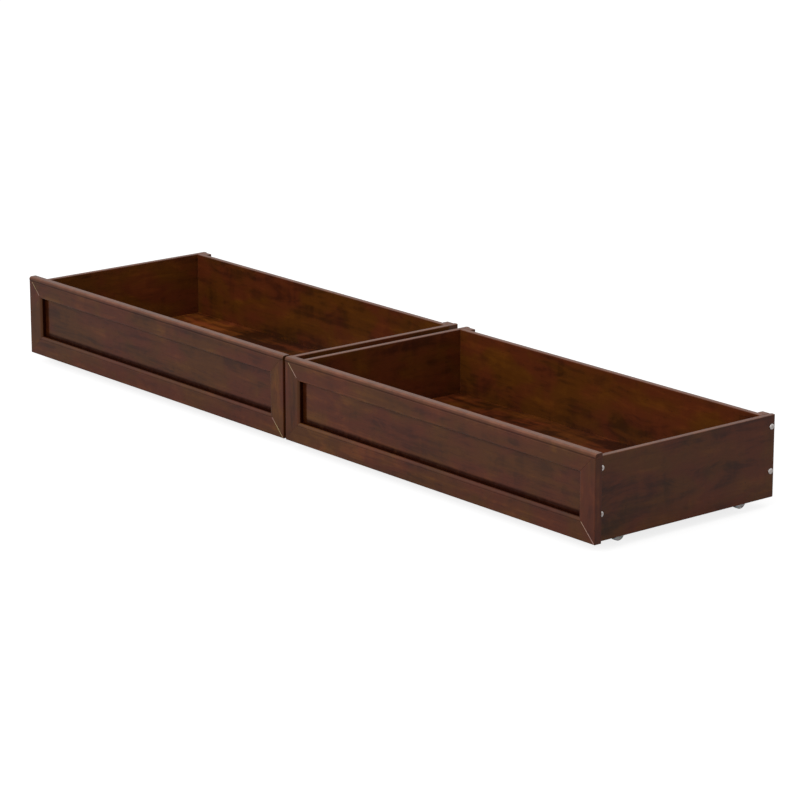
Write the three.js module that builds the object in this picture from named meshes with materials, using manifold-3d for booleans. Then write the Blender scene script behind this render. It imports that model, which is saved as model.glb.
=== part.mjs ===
// A pair of rolling under-bed drawers that stand side by side.
// Millimetres, +X along the fronts, +Y towards the back, +Z up, floor at z = 0.
// The origin is on the floor, in the middle of the pair.

import * as THREE from 'three';
import * as BufferGeometryUtils from 'three/addons/utils/BufferGeometryUtils.js';
import Module from 'manifold-3d';

const wasm = await Module();
wasm.setup();

// Driving dimensions of one drawer.
const FRONT_WIDTH = 946;
const FRONT_HEIGHT = 178;
const FRONT_THICKNESS = 18;
const DRAWER_DEPTH = 488;
const DRAWER_GAP = 8;
const FLOOR_CLEARANCE = 20;
const BOARD_THICKNESS = 12;
const SIDE_INSET = 10;
const SIDE_DROP = 10;
const BACK_SETBACK = 18;

// Moulding of the front frame.
const FRAME_WIDTH = 45;
const NOSING_RADIUS = 6;
const NOSING_HEIGHT = 11;
const EDGE_RADIUS = 1.5;
const QUIRK_DEPTH = 1;
const QUIRK_WIDTH = 1.2;
const BEAD_RADIUS = 3.3;
const BEAD_LEVEL = 3.5;
const PANEL_RECESS = 12;
const PANEL_THICKNESS = 4;
const PANEL_TONGUE = 5;
const PANEL_GROOVE_DEPTH = 5.5;

// Bottom board and the batten under it.
const BOTTOM_TOP = 47;
const BOTTOM_THICKNESS = 9;
const BOTTOM_GROOVE_DEPTH = 5;
const SUPPORT_WIDTH = 40;
const SUPPORT_HEIGHT = 15;

// Corner cleats and the bolts that hold the boards to them.
const CLEAT_WIDTH = 20;
const CLEAT_DEPTH = 14;
const BOLT_HEIGHTS = [74, 164.5];
const BOLT_SHANK_RADIUS = 3;
const BOLT_TIP_CHAMFER = 0.8;
const BOLT_HEAD_RADIUS = 6;
const BOLT_HEAD_HEIGHT = 2.2;
const BOLT_RIM_HEIGHT = 1;
const BOLT_CROWN_RADIUS = 4.6;
const BOLT_LENGTH = 29;
const BOLT_SIDES = 14;
const BOLT_HOLE_RADIUS = 3.4;
const BOLT_HOLE_SIDES = 12;
const BOLT_SOCKET_RADIUS = 2.2;
const BOLT_SOCKET_DEPTH = 2.6;
const HEXAGON_SIDES = 6;

// Fixed casters.
const WHEEL_RADIUS = 14;
const WHEEL_WIDTH = 13;
const WHEEL_SIDES = 24;
const WHEEL_EDGE = 1.5;
const WHEEL_RIM_WIDTH = 4.5;
const WHEEL_HUB_RADIUS = 5.5;
const WHEEL_DISH = 2;
const WHEEL_INSET = 44.5;
const WHEEL_PLACES = [100, 426];
const AXLE_RADIUS = 2.5;
const AXLE_SIDES = 12;
const AXLE_CLEARANCE = 0.35;
const PLATE_WIDTH = 34;
const PLATE_LENGTH = 42;
const SHEET_THICKNESS = 2;
const CHEEK_GAP = 15;
const CHEEK_LENGTH = 22;
const CHEEK_END_RADIUS = 5;
const CHEEK_END_ARC = [200, 340];
const RIVET_HEIGHT = 1.2;

// Clearance between pieces that meet.
const JOINT_GAP = 0.3;
const CUT_MARGIN = 1;
const ARC_STEPS = 5;
const MERGE_TOLERANCE = 1e-4;

// Derived places, from the drawer's own origin: middle of its front face, on the floor.
const HALF_WIDTH = FRONT_WIDTH / 2;
const FRONT_TOP = FLOOR_CLEARANCE + FRONT_HEIGHT;
const SIDE_TOP = FRONT_TOP - SIDE_DROP;
const SIDE_OUTER = HALF_WIDTH - SIDE_INSET;
const SIDE_INNER = SIDE_OUTER - BOARD_THICKNESS;
const BEHIND_FRONT = FRONT_THICKNESS + JOINT_GAP;
const BACK_OUTER = DRAWER_DEPTH - BACK_SETBACK;
const BACK_INNER = BACK_OUTER - BOARD_THICKNESS;
const BOTTOM_UNDERSIDE = BOTTOM_TOP - BOTTOM_THICKNESS;
const BEHIND_BACK = BACK_OUTER + JOINT_GAP;

const walnut = new THREE.MeshStandardMaterial({ color: 0x4a2618, roughness: 0.42, metalness: 0 });
const walnutInside = new THREE.MeshStandardMaterial({ color: 0x5a2c14, roughness: 0.5, metalness: 0 });
const nickel = new THREE.MeshStandardMaterial({ color: 0xc9c5bf, roughness: 0.28, metalness: 1 });
const zinc = new THREE.MeshStandardMaterial({ color: 0xb4b6b8, roughness: 0.4, metalness: 1 });
const nylon = new THREE.MeshStandardMaterial({ color: 0xdedbd4, roughness: 0.45, metalness: 0 });

// Axes for an extrusion: where the outline's x and y and the extrusion's direction point.
const ALONG_X = new THREE.Matrix4().set(0, 0, 1, 0, 1, 0, 0, 0, 0, 1, 0, 0, 0, 0, 0, 1);
const ALONG_Y = new THREE.Matrix4().set(0, 1, 0, 0, 0, 0, 1, 0, 1, 0, 0, 0, 0, 0, 0, 1);
const ALONG_Z = new THREE.Matrix4();

/** Turns a closed three.js geometry into a solid for cutting and joining. */
function toSolid(geometry) {
  const bare = geometry.clone();
  bare.deleteAttribute('normal');
  bare.deleteAttribute('uv');
  const merged = BufferGeometryUtils.mergeVertices(bare, MERGE_TOLERANCE);
  return new wasm.Manifold(new wasm.Mesh({
    numProp: 3,
    vertProperties: new Float32Array(merged.attributes.position.array),
    triVerts: new Uint32Array(merged.index.array),
  }));
}

/** Turns a solid back into a three.js geometry. */
function toGeometry(solid) {
  const mesh = solid.getMesh();
  const geometry = new THREE.BufferGeometry();
  geometry.setAttribute('position', new THREE.BufferAttribute(mesh.vertProperties, 3));
  geometry.setIndex(new THREE.BufferAttribute(mesh.triVerts, 1));
  geometry.computeVertexNormals();
  return geometry;
}

/** A box between two corners. */
function boxBetween(low, high) {
  const size = high.map((value, i) => value - low[i]);
  const geometry = new THREE.BoxGeometry(...size);
  geometry.translate(...low.map((value, i) => value + size[i] / 2));
  return geometry;
}

/** A prism of an outline, pushed along one of the axes above from one place to another. */
function prism(outline, axes, from, to) {
  const shape = new THREE.Shape(outline.map(([x, y]) => new THREE.Vector2(x, y)));
  const geometry = new THREE.ExtrudeGeometry(shape, { depth: to - from, bevelEnabled: false });
  geometry.translate(0, 0, from);
  return geometry.applyMatrix4(axes);
}

/** A cylinder whose axis runs along X, between two places. */
function rodAlongX(radius, from, to, y, z, sides) {
  const geometry = new THREE.CylinderGeometry(radius, radius, to - from, sides);
  geometry.rotateZ(-Math.PI / 2);
  geometry.translate((from + to) / 2, y, z);
  return geometry;
}

/** Points of an arc about a centre, angles in degrees. */
function arc(x, y, radius, start, end) {
  return Array.from({ length: ARC_STEPS + 1 }, (_, i) => {
    const angle = THREE.MathUtils.degToRad(start + (end - start) * i / ARC_STEPS);
    return [x + radius * Math.cos(angle), y + radius * Math.sin(angle)];
  });
}

/** The part of a frame member's section next to the panel: quirk, bead, wall and panel groove. */
function innerProfile() {
  const beadCentre = FRAME_WIDTH - BEAD_RADIUS;
  const beadStart = beadCentre - BEAD_RADIUS * Math.cos(Math.PI / 6);
  const grooveEnd = PANEL_RECESS + PANEL_THICKNESS + JOINT_GAP;
  const grooveFloor = FRAME_WIDTH - PANEL_GROOVE_DEPTH;
  return [
    [beadStart - 2 * QUIRK_WIDTH, 0],
    [beadStart - QUIRK_WIDTH, QUIRK_DEPTH],
    ...arc(beadCentre, BEAD_LEVEL, BEAD_RADIUS, 210, 360),
    [FRAME_WIDTH, PANEL_RECESS - JOINT_GAP],
    [grooveFloor, PANEL_RECESS - JOINT_GAP],
    [grooveFloor, grooveEnd],
    [FRAME_WIDTH, grooveEnd],
    [FRAME_WIDTH, FRONT_THICKNESS],
  ];
}

/** Section of the plain frame members: distance from the outer edge, depth behind the face. */
function plainProfile() {
  return [
    [0, FRONT_THICKNESS],
    ...arc(EDGE_RADIUS, EDGE_RADIUS, EDGE_RADIUS, 180, 270),
    ...innerProfile(),
  ];
}

/** Section of the top rail, with its rounded nosing and the quirk under it. */
function nosedProfile() {
  return [
    [0, FRONT_THICKNESS],
    ...arc(NOSING_RADIUS, NOSING_RADIUS, NOSING_RADIUS, 180, 270),
    [NOSING_HEIGHT - 2 * QUIRK_WIDTH, QUIRK_DEPTH],
    [NOSING_HEIGHT - QUIRK_WIDTH, QUIRK_DEPTH],
    [NOSING_HEIGHT, 0],
    ...innerProfile(),
  ];
}

/** The space that the bottom board's edges need in the boards around it. */
function bottomGrooveCutter() {
  return toSolid(boxBetween(
    [-SIDE_INNER - BOTTOM_GROOVE_DEPTH, FRONT_THICKNESS - BOTTOM_GROOVE_DEPTH, BOTTOM_UNDERSIDE - JOINT_GAP],
    [SIDE_INNER + BOTTOM_GROOVE_DEPTH, BACK_INNER + BOTTOM_GROOVE_DEPTH, BOTTOM_TOP + JOINT_GAP],
  ));
}

/** Holes for the bolts of one corner, from the outside of the side into the cleat. */
function boltHoles(side, y) {
  const ends = [SIDE_INNER - CLEAT_WIDTH - CUT_MARGIN, SIDE_OUTER + CUT_MARGIN];
  const [from, to] = side > 0 ? ends : [-ends[1], -ends[0]];
  return BOLT_HEIGHTS.map((z) => toSolid(rodAlongX(BOLT_HOLE_RADIUS, from, to, y, z, BOLT_HOLE_SIDES)));
}

/** A solid with every cutter taken out of it. */
function cut(solid, cutters) {
  return cutters.reduce((left, cutter) => left.subtract(cutter), solid);
}

const bottomGroove = bottomGrooveCutter();
const frontBoltY = BEHIND_FRONT + CLEAT_DEPTH / 2;
const rearBoltY = BEHIND_BACK + CLEAT_DEPTH / 2;

/** Top rail: the nosing runs over both stiles, and the rest is mitred into them. */
function frontTopRail() {
  const section = nosedProfile().map(([across, deep]) => [deep, FRONT_TOP - across]);
  const bar = toSolid(prism(section, ALONG_X, -HALF_WIDTH, HALF_WIDTH));
  const nose = FRONT_TOP - NOSING_HEIGHT;
  const inner = FRONT_TOP - FRAME_WIDTH;
  const corner = HALF_WIDTH - NOSING_HEIGHT - JOINT_GAP;
  const outline = [
    [FRONT_TOP + CUT_MARGIN, HALF_WIDTH],
    [FRONT_TOP + CUT_MARGIN, -HALF_WIDTH],
    [nose, -HALF_WIDTH],
    [nose, -corner],
    [inner - CUT_MARGIN, -(corner - (nose - inner) - CUT_MARGIN)],
    [inner - CUT_MARGIN, corner - (nose - inner) - CUT_MARGIN],
    [nose, corner],
    [nose, HALF_WIDTH],
  ];
  return bar.intersect(toSolid(prism(outline, ALONG_Y, -CUT_MARGIN, FRONT_THICKNESS + CUT_MARGIN)));
}

/** Bottom rail, mitred at both ends and grooved behind for the bottom board. */
function frontBottomRail() {
  const section = plainProfile().map(([across, deep]) => [deep, FLOOR_CLEARANCE + across]).reverse();
  const bar = toSolid(prism(section, ALONG_X, -HALF_WIDTH, HALF_WIDTH));
  const low = FLOOR_CLEARANCE - CUT_MARGIN;
  const high = FLOOR_CLEARANCE + FRAME_WIDTH + CUT_MARGIN;
  const reach = HALF_WIDTH + CUT_MARGIN - JOINT_GAP;
  const rise = high - low;
  const outline = [[low, -reach], [high, -reach + rise], [high, reach - rise], [low, reach]];
  const ends = toSolid(prism(outline, ALONG_Y, -CUT_MARGIN, FRONT_THICKNESS + CUT_MARGIN));
  return bar.intersect(ends).subtract(bottomGroove);
}

/** A stile: side is -1 for the left one and 1 for the right one. */
function frontStile(side) {
  const section = plainProfile().map(([across, deep]) => [side * (HALF_WIDTH - across), deep]);
  const bar = toSolid(prism(side > 0 ? section.reverse() : section, ALONG_Z, FLOOR_CLEARANCE, FRONT_TOP));
  const top = FRONT_TOP - NOSING_HEIGHT - JOINT_GAP;
  const innerTop = FRONT_TOP - FRAME_WIDTH;
  const innerLow = FLOOR_CLEARANCE + FRAME_WIDTH;
  const outer = HALF_WIDTH + CUT_MARGIN;
  const inner = HALF_WIDTH - FRAME_WIDTH - CUT_MARGIN;
  const outline = [
    [FLOOR_CLEARANCE - CUT_MARGIN, outer],
    [top, outer],
    [top, HALF_WIDTH - NOSING_HEIGHT],
    [innerTop - CUT_MARGIN - JOINT_GAP, inner],
    [innerLow + CUT_MARGIN, inner],
  ].map(([z, x]) => [z, side * x]);
  return bar
    .intersect(toSolid(prism(outline, ALONG_Y, -CUT_MARGIN, FRONT_THICKNESS + CUT_MARGIN)))
    .subtract(bottomGroove);
}

/** Flat panel held in the grooves of the frame. */
function frontPanel() {
  const reach = HALF_WIDTH - FRAME_WIDTH + PANEL_TONGUE;
  const rise = FRAME_WIDTH - PANEL_TONGUE;
  return boxBetween(
    [-reach, PANEL_RECESS, FLOOR_CLEARANCE + rise],
    [reach, PANEL_RECESS + PANEL_THICKNESS, FRONT_TOP - rise],
  );
}

/** A side board, drilled for its four bolts. */
function sideBoard(side) {
  const [from, to] = side > 0 ? [SIDE_INNER, SIDE_OUTER] : [-SIDE_OUTER, -SIDE_INNER];
  const board = toSolid(boxBetween([from, BEHIND_FRONT, FLOOR_CLEARANCE], [to, DRAWER_DEPTH, SIDE_TOP]));
  return cut(board, [bottomGroove, ...boltHoles(side, frontBoltY), ...boltHoles(side, rearBoltY)]);
}

/** The back board, between the sides. */
function backBoard() {
  const reach = SIDE_INNER - JOINT_GAP;
  const board = boxBetween([-reach, BACK_INNER, FLOOR_CLEARANCE], [reach, BACK_OUTER, SIDE_TOP]);
  return toSolid(board).subtract(bottomGroove);
}

/** The bottom board, let into grooves on all four sides. */
function bottomBoard() {
  const tongue = BOTTOM_GROOVE_DEPTH - JOINT_GAP;
  return boxBetween(
    [-SIDE_INNER - tongue, FRONT_THICKNESS - tongue, BOTTOM_UNDERSIDE],
    [SIDE_INNER + tongue, BACK_INNER + tongue, BOTTOM_TOP],
  );
}

/** The batten that stiffens the bottom board from front to back. */
function centreSupport() {
  const top = BOTTOM_UNDERSIDE - JOINT_GAP;
  return boxBetween(
    [-SUPPORT_WIDTH / 2, BEHIND_FRONT, top - SUPPORT_HEIGHT],
    [SUPPORT_WIDTH / 2, BACK_INNER - JOINT_GAP, top],
  );
}

/** A corner cleat, from one height to the rim, drilled for two bolts. */
function cornerCleat(side, start, bottom, boltY) {
  const near = SIDE_INNER - JOINT_GAP;
  const far = near - CLEAT_WIDTH;
  const [from, to] = side > 0 ? [far, near] : [-near, -far];
  const block = toSolid(boxBetween([from, start, bottom], [to, start + CLEAT_DEPTH, SIDE_TOP]));
  return cut(block, boltHoles(side, boltY));
}

/** A round-headed bolt with a hexagonal socket, through the side into the cleat. */
function cornerBolt(side, y, z) {
  const seat = SIDE_OUTER + JOINT_GAP;
  const crown = seat + BOLT_HEAD_HEIGHT;
  const profile = [
    [0, -BOLT_LENGTH],
    [BOLT_SHANK_RADIUS - BOLT_TIP_CHAMFER, -BOLT_LENGTH],
    [BOLT_SHANK_RADIUS, BOLT_TIP_CHAMFER - BOLT_LENGTH],
    [BOLT_SHANK_RADIUS, 0],
    [BOLT_HEAD_RADIUS, 0],
    [BOLT_HEAD_RADIUS, BOLT_RIM_HEIGHT],
    [BOLT_CROWN_RADIUS, BOLT_HEAD_HEIGHT],
    [0, BOLT_HEAD_HEIGHT],
  ];
  const body = new THREE.LatheGeometry(profile.map(([r, h]) => new THREE.Vector2(r, h)), BOLT_SIDES);
  body.rotateZ(-Math.PI / 2);
  body.translate(seat, y, z);
  const floor = crown - BOLT_SOCKET_DEPTH;
  const socket = rodAlongX(BOLT_SOCKET_RADIUS, floor, crown + CUT_MARGIN, y, z, HEXAGON_SIDES);
  const bolt = toSolid(body).subtract(toSolid(socket));
  return side > 0 ? bolt : bolt.mirror([1, 0, 0]);
}

/** A fixed caster's housing: plate, two cheeks and the riveted axle, as one solid. */
function casterBracket(side, y) {
  const x = side * (HALF_WIDTH - WHEEL_INSET);
  const plateTop = BOTTOM_UNDERSIDE - JOINT_GAP;
  const plateLow = plateTop - SHEET_THICKNESS;
  const plate = toSolid(boxBetween(
    [x - PLATE_WIDTH / 2, y - PLATE_LENGTH / 2, plateLow],
    [x + PLATE_WIDTH / 2, y + PLATE_LENGTH / 2, plateTop],
  ));
  const halfLength = CHEEK_LENGTH / 2;
  const cheekOutline = [
    [y - halfLength, plateTop - SHEET_THICKNESS / 2],
    ...arc(y, WHEEL_RADIUS, CHEEK_END_RADIUS, ...CHEEK_END_ARC),
    [y + halfLength, plateTop - SHEET_THICKNESS / 2],
  ];
  const half = CHEEK_GAP / 2;
  const cheeks = [-half - SHEET_THICKNESS, half].map((from) => (
    toSolid(prism(cheekOutline, ALONG_X, x + from, x + from + SHEET_THICKNESS))
  ));
  const reach = half + SHEET_THICKNESS + RIVET_HEIGHT;
  const axle = toSolid(rodAlongX(AXLE_RADIUS, x - reach, x + reach, y, WHEEL_RADIUS, AXLE_SIDES));
  return [...cheeks, axle].reduce((sum, piece) => sum.add(piece), plate);
}

/** A caster wheel with a bored hub and dished faces. One flat of its rim is at the bottom. */
function casterWheel(side, y) {
  const half = WHEEL_WIDTH / 2;
  const bore = AXLE_RADIUS + AXLE_CLEARANCE;
  const rim = WHEEL_RADIUS / Math.cos(Math.PI / WHEEL_SIDES);
  const dish = half - WHEEL_DISH;
  const profile = [
    [bore, -half],
    [WHEEL_HUB_RADIUS, -half],
    [WHEEL_HUB_RADIUS, -dish],
    [rim - WHEEL_RIM_WIDTH, -dish],
    [rim - WHEEL_EDGE, -half],
    [rim, WHEEL_EDGE - half],
    [rim, half - WHEEL_EDGE],
    [rim - WHEEL_EDGE, half],
    [rim - WHEEL_RIM_WIDTH, dish],
    [WHEEL_HUB_RADIUS, dish],
    [WHEEL_HUB_RADIUS, half],
    [bore, half],
    [bore, -half],
  ];
  const wheel = new THREE.LatheGeometry(profile.map(([r, h]) => new THREE.Vector2(r, h)), WHEEL_SIDES);
  wheel.rotateY(Math.PI / WHEEL_SIDES);
  wheel.rotateZ(-Math.PI / 2);
  wheel.translate(side * (HALF_WIDTH - WHEEL_INSET), y, WHEEL_RADIUS);
  return wheel;
}

const group = new THREE.Group();

/** Adds a named mesh to a group, from a geometry or a solid. */
function addMesh(parent, name, shape, material) {
  const geometry = shape.isBufferGeometry ? shape : toGeometry(shape);
  const mesh = new THREE.Mesh(geometry, material);
  mesh.name = name;
  parent.add(mesh);
}

/** One whole drawer, its pieces named after it. */
function drawer(name) {
  const parent = new THREE.Group();
  const add = (piece, shape, material) => addMesh(parent, `${name}_${piece}`, shape, material);
  add('front_top_rail', frontTopRail(), walnut);
  add('front_bottom_rail', frontBottomRail(), walnut);
  add('front_panel', frontPanel(), walnut);
  add('back_board', backBoard(), walnut);
  add('bottom_board', bottomBoard(), walnutInside);
  add('centre_support', centreSupport(), walnutInside);
  for (const [hand, side] of [['left', -1], ['right', 1]]) {
    add(`front_${hand}_stile`, frontStile(side), walnut);
    add(`${hand}_side`, sideBoard(side), walnut);
    const frontCleatLow = BOTTOM_TOP + JOINT_GAP;
    add(`front_${hand}_cleat`, cornerCleat(side, BEHIND_FRONT, frontCleatLow, frontBoltY), walnut);
    add(`rear_${hand}_cleat`, cornerCleat(side, BEHIND_BACK, FLOOR_CLEARANCE, rearBoltY), walnut);
    const ends = [['front', frontBoltY, WHEEL_PLACES[0]], ['rear', rearBoltY, WHEEL_PLACES[1]]];
    for (const [end, boltY, wheelY] of ends) {
      add(`${end}_${hand}_lower_bolt`, cornerBolt(side, boltY, BOLT_HEIGHTS[0]), nickel);
      add(`${end}_${hand}_upper_bolt`, cornerBolt(side, boltY, BOLT_HEIGHTS[1]), nickel);
      add(`${end}_${hand}_caster_bracket`, casterBracket(side, wheelY), zinc);
      add(`${end}_${hand}_wheel`, casterWheel(side, wheelY), nylon);
    }
  }
  return parent;
}

for (const [name, side] of [['left_drawer', -1], ['right_drawer', 1]]) {
  const placed = drawer(name);
  placed.position.set(side * (FRONT_WIDTH + DRAWER_GAP) / 2, -DRAWER_DEPTH / 2, 0);
  group.add(placed);
}

export default group;
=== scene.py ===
"""Looks of a pair of rolling under-bed drawers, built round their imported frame.

Units are metres: +X runs along the fronts, +Y towards the backs, +Z up, and the floor is z = 0.
"""

import logging
import math
from collections.abc import Callable, Iterable, Sequence
from dataclasses import dataclass, field
from enum import Enum

import bmesh
import bpy
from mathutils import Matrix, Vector


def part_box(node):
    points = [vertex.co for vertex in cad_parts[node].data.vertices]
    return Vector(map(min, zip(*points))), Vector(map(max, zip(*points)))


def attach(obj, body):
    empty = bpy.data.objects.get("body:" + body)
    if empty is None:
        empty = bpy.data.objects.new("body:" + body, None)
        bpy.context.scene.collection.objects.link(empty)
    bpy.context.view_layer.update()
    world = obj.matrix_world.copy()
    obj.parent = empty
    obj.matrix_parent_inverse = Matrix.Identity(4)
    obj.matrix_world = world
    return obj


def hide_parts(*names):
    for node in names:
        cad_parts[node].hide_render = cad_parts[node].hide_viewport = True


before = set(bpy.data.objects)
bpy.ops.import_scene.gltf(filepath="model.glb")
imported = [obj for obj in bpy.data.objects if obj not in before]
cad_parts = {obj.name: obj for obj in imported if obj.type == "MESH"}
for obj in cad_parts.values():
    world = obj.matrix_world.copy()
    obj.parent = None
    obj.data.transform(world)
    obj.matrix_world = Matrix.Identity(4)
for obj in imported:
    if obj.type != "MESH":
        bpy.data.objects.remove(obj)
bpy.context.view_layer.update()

MM = 0.001
DRAWERS = ("left_drawer", "right_drawer")
# Face attribute of a lighter colour: finish worn off the arrises, and a painted highlight on upward faces
# near the rims.
WEAR_AND_HIGHLIGHT = "eased"
# Vertex attribute of painted shade: how dark the mouldings' recesses and the panel's edges are painted.
PAINTED_SHADE = "glazed"
log = logging.getLogger("drawers")

Colour = tuple[float, float, float]
Point = tuple[float, float, float]
Spot = tuple[float, float]

ORIGIN: Point = (0.0, 0.0, 0.0)
SAME_POINT = 1e-6
BROAD_ROUND = 4 * MM
BROAD_STEPS = 10
NARROW_STEPS = 5
SLANT = math.sqrt(0.5)
SLANT_PLAY = 0.02
FOLD_ANGLE = math.radians(40)
SHADING_ANGLE = math.radians(38)


class Hand(Enum):
    """Left or right side of one drawer, seen from its front."""

    LEFT = -1
    RIGHT = 1

    @property
    def word(self) -> str:
        """The word used in node names."""
        return self.name.lower()


class End(Enum):
    """Front or rear end of one drawer."""

    FRONT = "front"
    REAR = "rear"


class Level(Enum):
    """Lower or upper bolt of one corner."""

    LOWER = "lower"
    UPPER = "upper"


class Grain(Enum):
    """Direction in which the grain of a board runs."""

    ALONG_X = (0.0, 0.0, 0.0)
    ALONG_Y = (0.0, 0.0, math.pi / 2)
    ALONG_Z = (0.0, math.pi / 2, 0.0)


# ---------------------------------------------------------------- shader groups


@dataclass(frozen=True)
class Figure:
    """Noise laid over a surface.

    It has its repeats per metre on each axis, its octaves, the span that is spread to full contrast,
    and the share of it that tells.
    """

    scale: Point
    detail: float
    roughness: float
    warp: float
    low: float = 0.0
    high: float = 1.0
    share: float = 1.0


class GroupBuilder:
    """Lays out one shader node group with named inputs and outputs."""

    def __init__(self, name: str) -> None:
        """Start an empty group.

        Args:
            name: Name of the group.
        """
        self.tree = bpy.data.node_groups.new(name, "ShaderNodeTree")
        self.inside = self.tree.nodes.new("NodeGroupInput")
        self.outside = self.tree.nodes.new("NodeGroupOutput")

    def input(self, name: str, kind: str) -> None:
        """Add an input socket that every material feeds: a "Vector", "Float" or "Color"."""
        self.tree.interface.new_socket(name, in_out="INPUT", socket_type=f"NodeSocket{kind}")

    def output(self, name: str, kind: str, source: bpy.types.NodeSocket) -> None:
        """Add an output socket fed by a node.

        Args:
            name: Label of the socket.
            kind: "Vector", "Float" or "Color".
            source: Socket that feeds it.
        """
        self.tree.interface.new_socket(name, in_out="OUTPUT", socket_type=f"NodeSocket{kind}")
        self.tree.links.new(source, self.outside.inputs[name])

    def given(self, name: str) -> bpy.types.NodeSocket:
        """The value that arrives on a named input."""
        return self.inside.outputs[name]

    def link(self, value: object, socket: bpy.types.NodeSocket) -> None:
        """Join a socket, or set a plain value, on an input.

        Args:
            value: A socket or a constant.
            socket: The input to feed.
        """
        if isinstance(value, bpy.types.NodeSocket):
            self.tree.links.new(value, socket)
        else:
            socket.default_value = value

    def maths(self, operation: str, *values: object) -> bpy.types.NodeSocket:
        """One maths node.

        Args:
            operation: Blender's name of the operation.
            values: Its operands, sockets or numbers.

        Returns:
            The result's socket.
        """
        node = self.tree.nodes.new("ShaderNodeMath")
        node.operation = operation
        for value, socket in zip(values, node.inputs):
            self.link(value, socket)
        return node.outputs[0]

    def plus(self, first: object, second: object) -> bpy.types.NodeSocket:
        """The sum of two numbers."""
        return self.maths("ADD", first, second)

    def minus(self, first: object, second: object) -> bpy.types.NodeSocket:
        """The first number less the second."""
        return self.maths("SUBTRACT", first, second)

    def times(self, first: object, second: object) -> bpy.types.NodeSocket:
        """The product of two numbers."""
        return self.maths("MULTIPLY", first, second)

    def scaled(self, vector: object, factors: object) -> bpy.types.NodeSocket:
        """A vector or colour multiplied axis by axis.

        Args:
            vector: Its socket.
            factors: Socket or three numbers.

        Returns:
            The product's socket.
        """
        node = self.tree.nodes.new("ShaderNodeVectorMath")
        node.operation = "MULTIPLY"
        self.link(vector, node.inputs[0])
        self.link(factors, node.inputs[1])
        return node.outputs[0]

    def noise(self, vector: object, figure: Figure) -> bpy.types.NodeSocket:
        """Fractal noise as it comes, before its contrast is spread.

        Args:
            vector: Where to sample it.
            figure: Its scale and octaves.

        Returns:
            The noise factor's socket.
        """
        place = self.scaled(vector, figure.scale)
        node = self.tree.nodes.new("ShaderNodeTexNoise")
        self.link(place, node.inputs["Vector"])
        node.inputs["Scale"].default_value = 1.0
        node.inputs["Detail"].default_value = figure.detail
        node.inputs["Roughness"].default_value = figure.roughness
        node.inputs["Distortion"].default_value = figure.warp
        return node.outputs["Fac"]

    def figure(self, vector: object, figure: Figure) -> bpy.types.NodeSocket:
        """Fractal noise spread to full contrast."""
        return self.band(self.noise(vector, figure), figure.low, figure.high)

    def spots(self, vector: object, scatter: float) -> bpy.types.NodeSocket:
        """Distance to the nearest of a scatter of points.

        Args:
            vector: Where to sample it.
            scatter: 0 for an even grid, 1 for the most scattered.

        Returns:
            The distance's socket.
        """
        node = self.tree.nodes.new("ShaderNodeTexVoronoi")
        self.link(vector, node.inputs["Vector"])
        node.inputs["Scale"].default_value = 1.0
        node.inputs["Randomness"].default_value = scatter
        return node.outputs["Distance"]

    def staves(self, vector: object, length: float, height: float, stagger: float) -> bpy.types.NodeSocket:
        """A random grey for each of the staves that a board is glued up from.

        Args:
            vector: Position, x along the grain and z up the board.
            length: Length of a stave in metres.
            height: Height of a stave in metres.
            stagger: Share of a stave by which each row is shifted.

        Returns:
            The grey's socket.
        """
        parts = self.tree.nodes.new("ShaderNodeSeparateXYZ")
        flat = self.tree.nodes.new("ShaderNodeCombineXYZ")
        brick = self.tree.nodes.new("ShaderNodeTexBrick")
        self.link(vector, parts.inputs[0])
        self.link(parts.outputs["X"], flat.inputs["X"])
        self.link(parts.outputs["Z"], flat.inputs["Y"])
        self.link(flat.outputs[0], brick.inputs["Vector"])
        brick.offset = stagger
        settings = {
            "Color1": (0.0, 0.0, 0.0, 1.0), "Color2": (1.0, 1.0, 1.0, 1.0), "Scale": 1.0,
            "Mortar Size": 0.0, "Brick Width": length, "Row Height": height,
        }
        for name, value in settings.items():
            brick.inputs[name].default_value = value
        return brick.outputs["Color"]

    def band(self, value: object, low: float, high: float) -> bpy.types.NodeSocket:
        """A value spread smoothly from 0 at low to 1 at high.

        Args:
            value: Input socket.
            low: Value that gives 0.
            high: Value that gives 1.

        Returns:
            The spread value's socket.
        """
        node = self.tree.nodes.new("ShaderNodeMapRange")
        node.interpolation_type = "SMOOTHSTEP"
        self.link(value, node.inputs["Value"])
        node.inputs["From Min"].default_value = low
        node.inputs["From Max"].default_value = high
        return node.outputs["Result"]

    def mix(self, factor: object, first: object, second: object) -> bpy.types.NodeSocket:
        """Blend of two colours.

        Args:
            factor: 0 for the first colour, 1 for the second.
            first: Socket or colour.
            second: Socket or colour.

        Returns:
            The blended colour's socket.
        """
        node = self.tree.nodes.new("ShaderNodeMix")
        node.data_type = "RGBA"
        self.link(factor, node.inputs["Factor"])
        self.link(first, node.inputs[6])
        self.link(second, node.inputs[7])
        return node.outputs[2]


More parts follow.
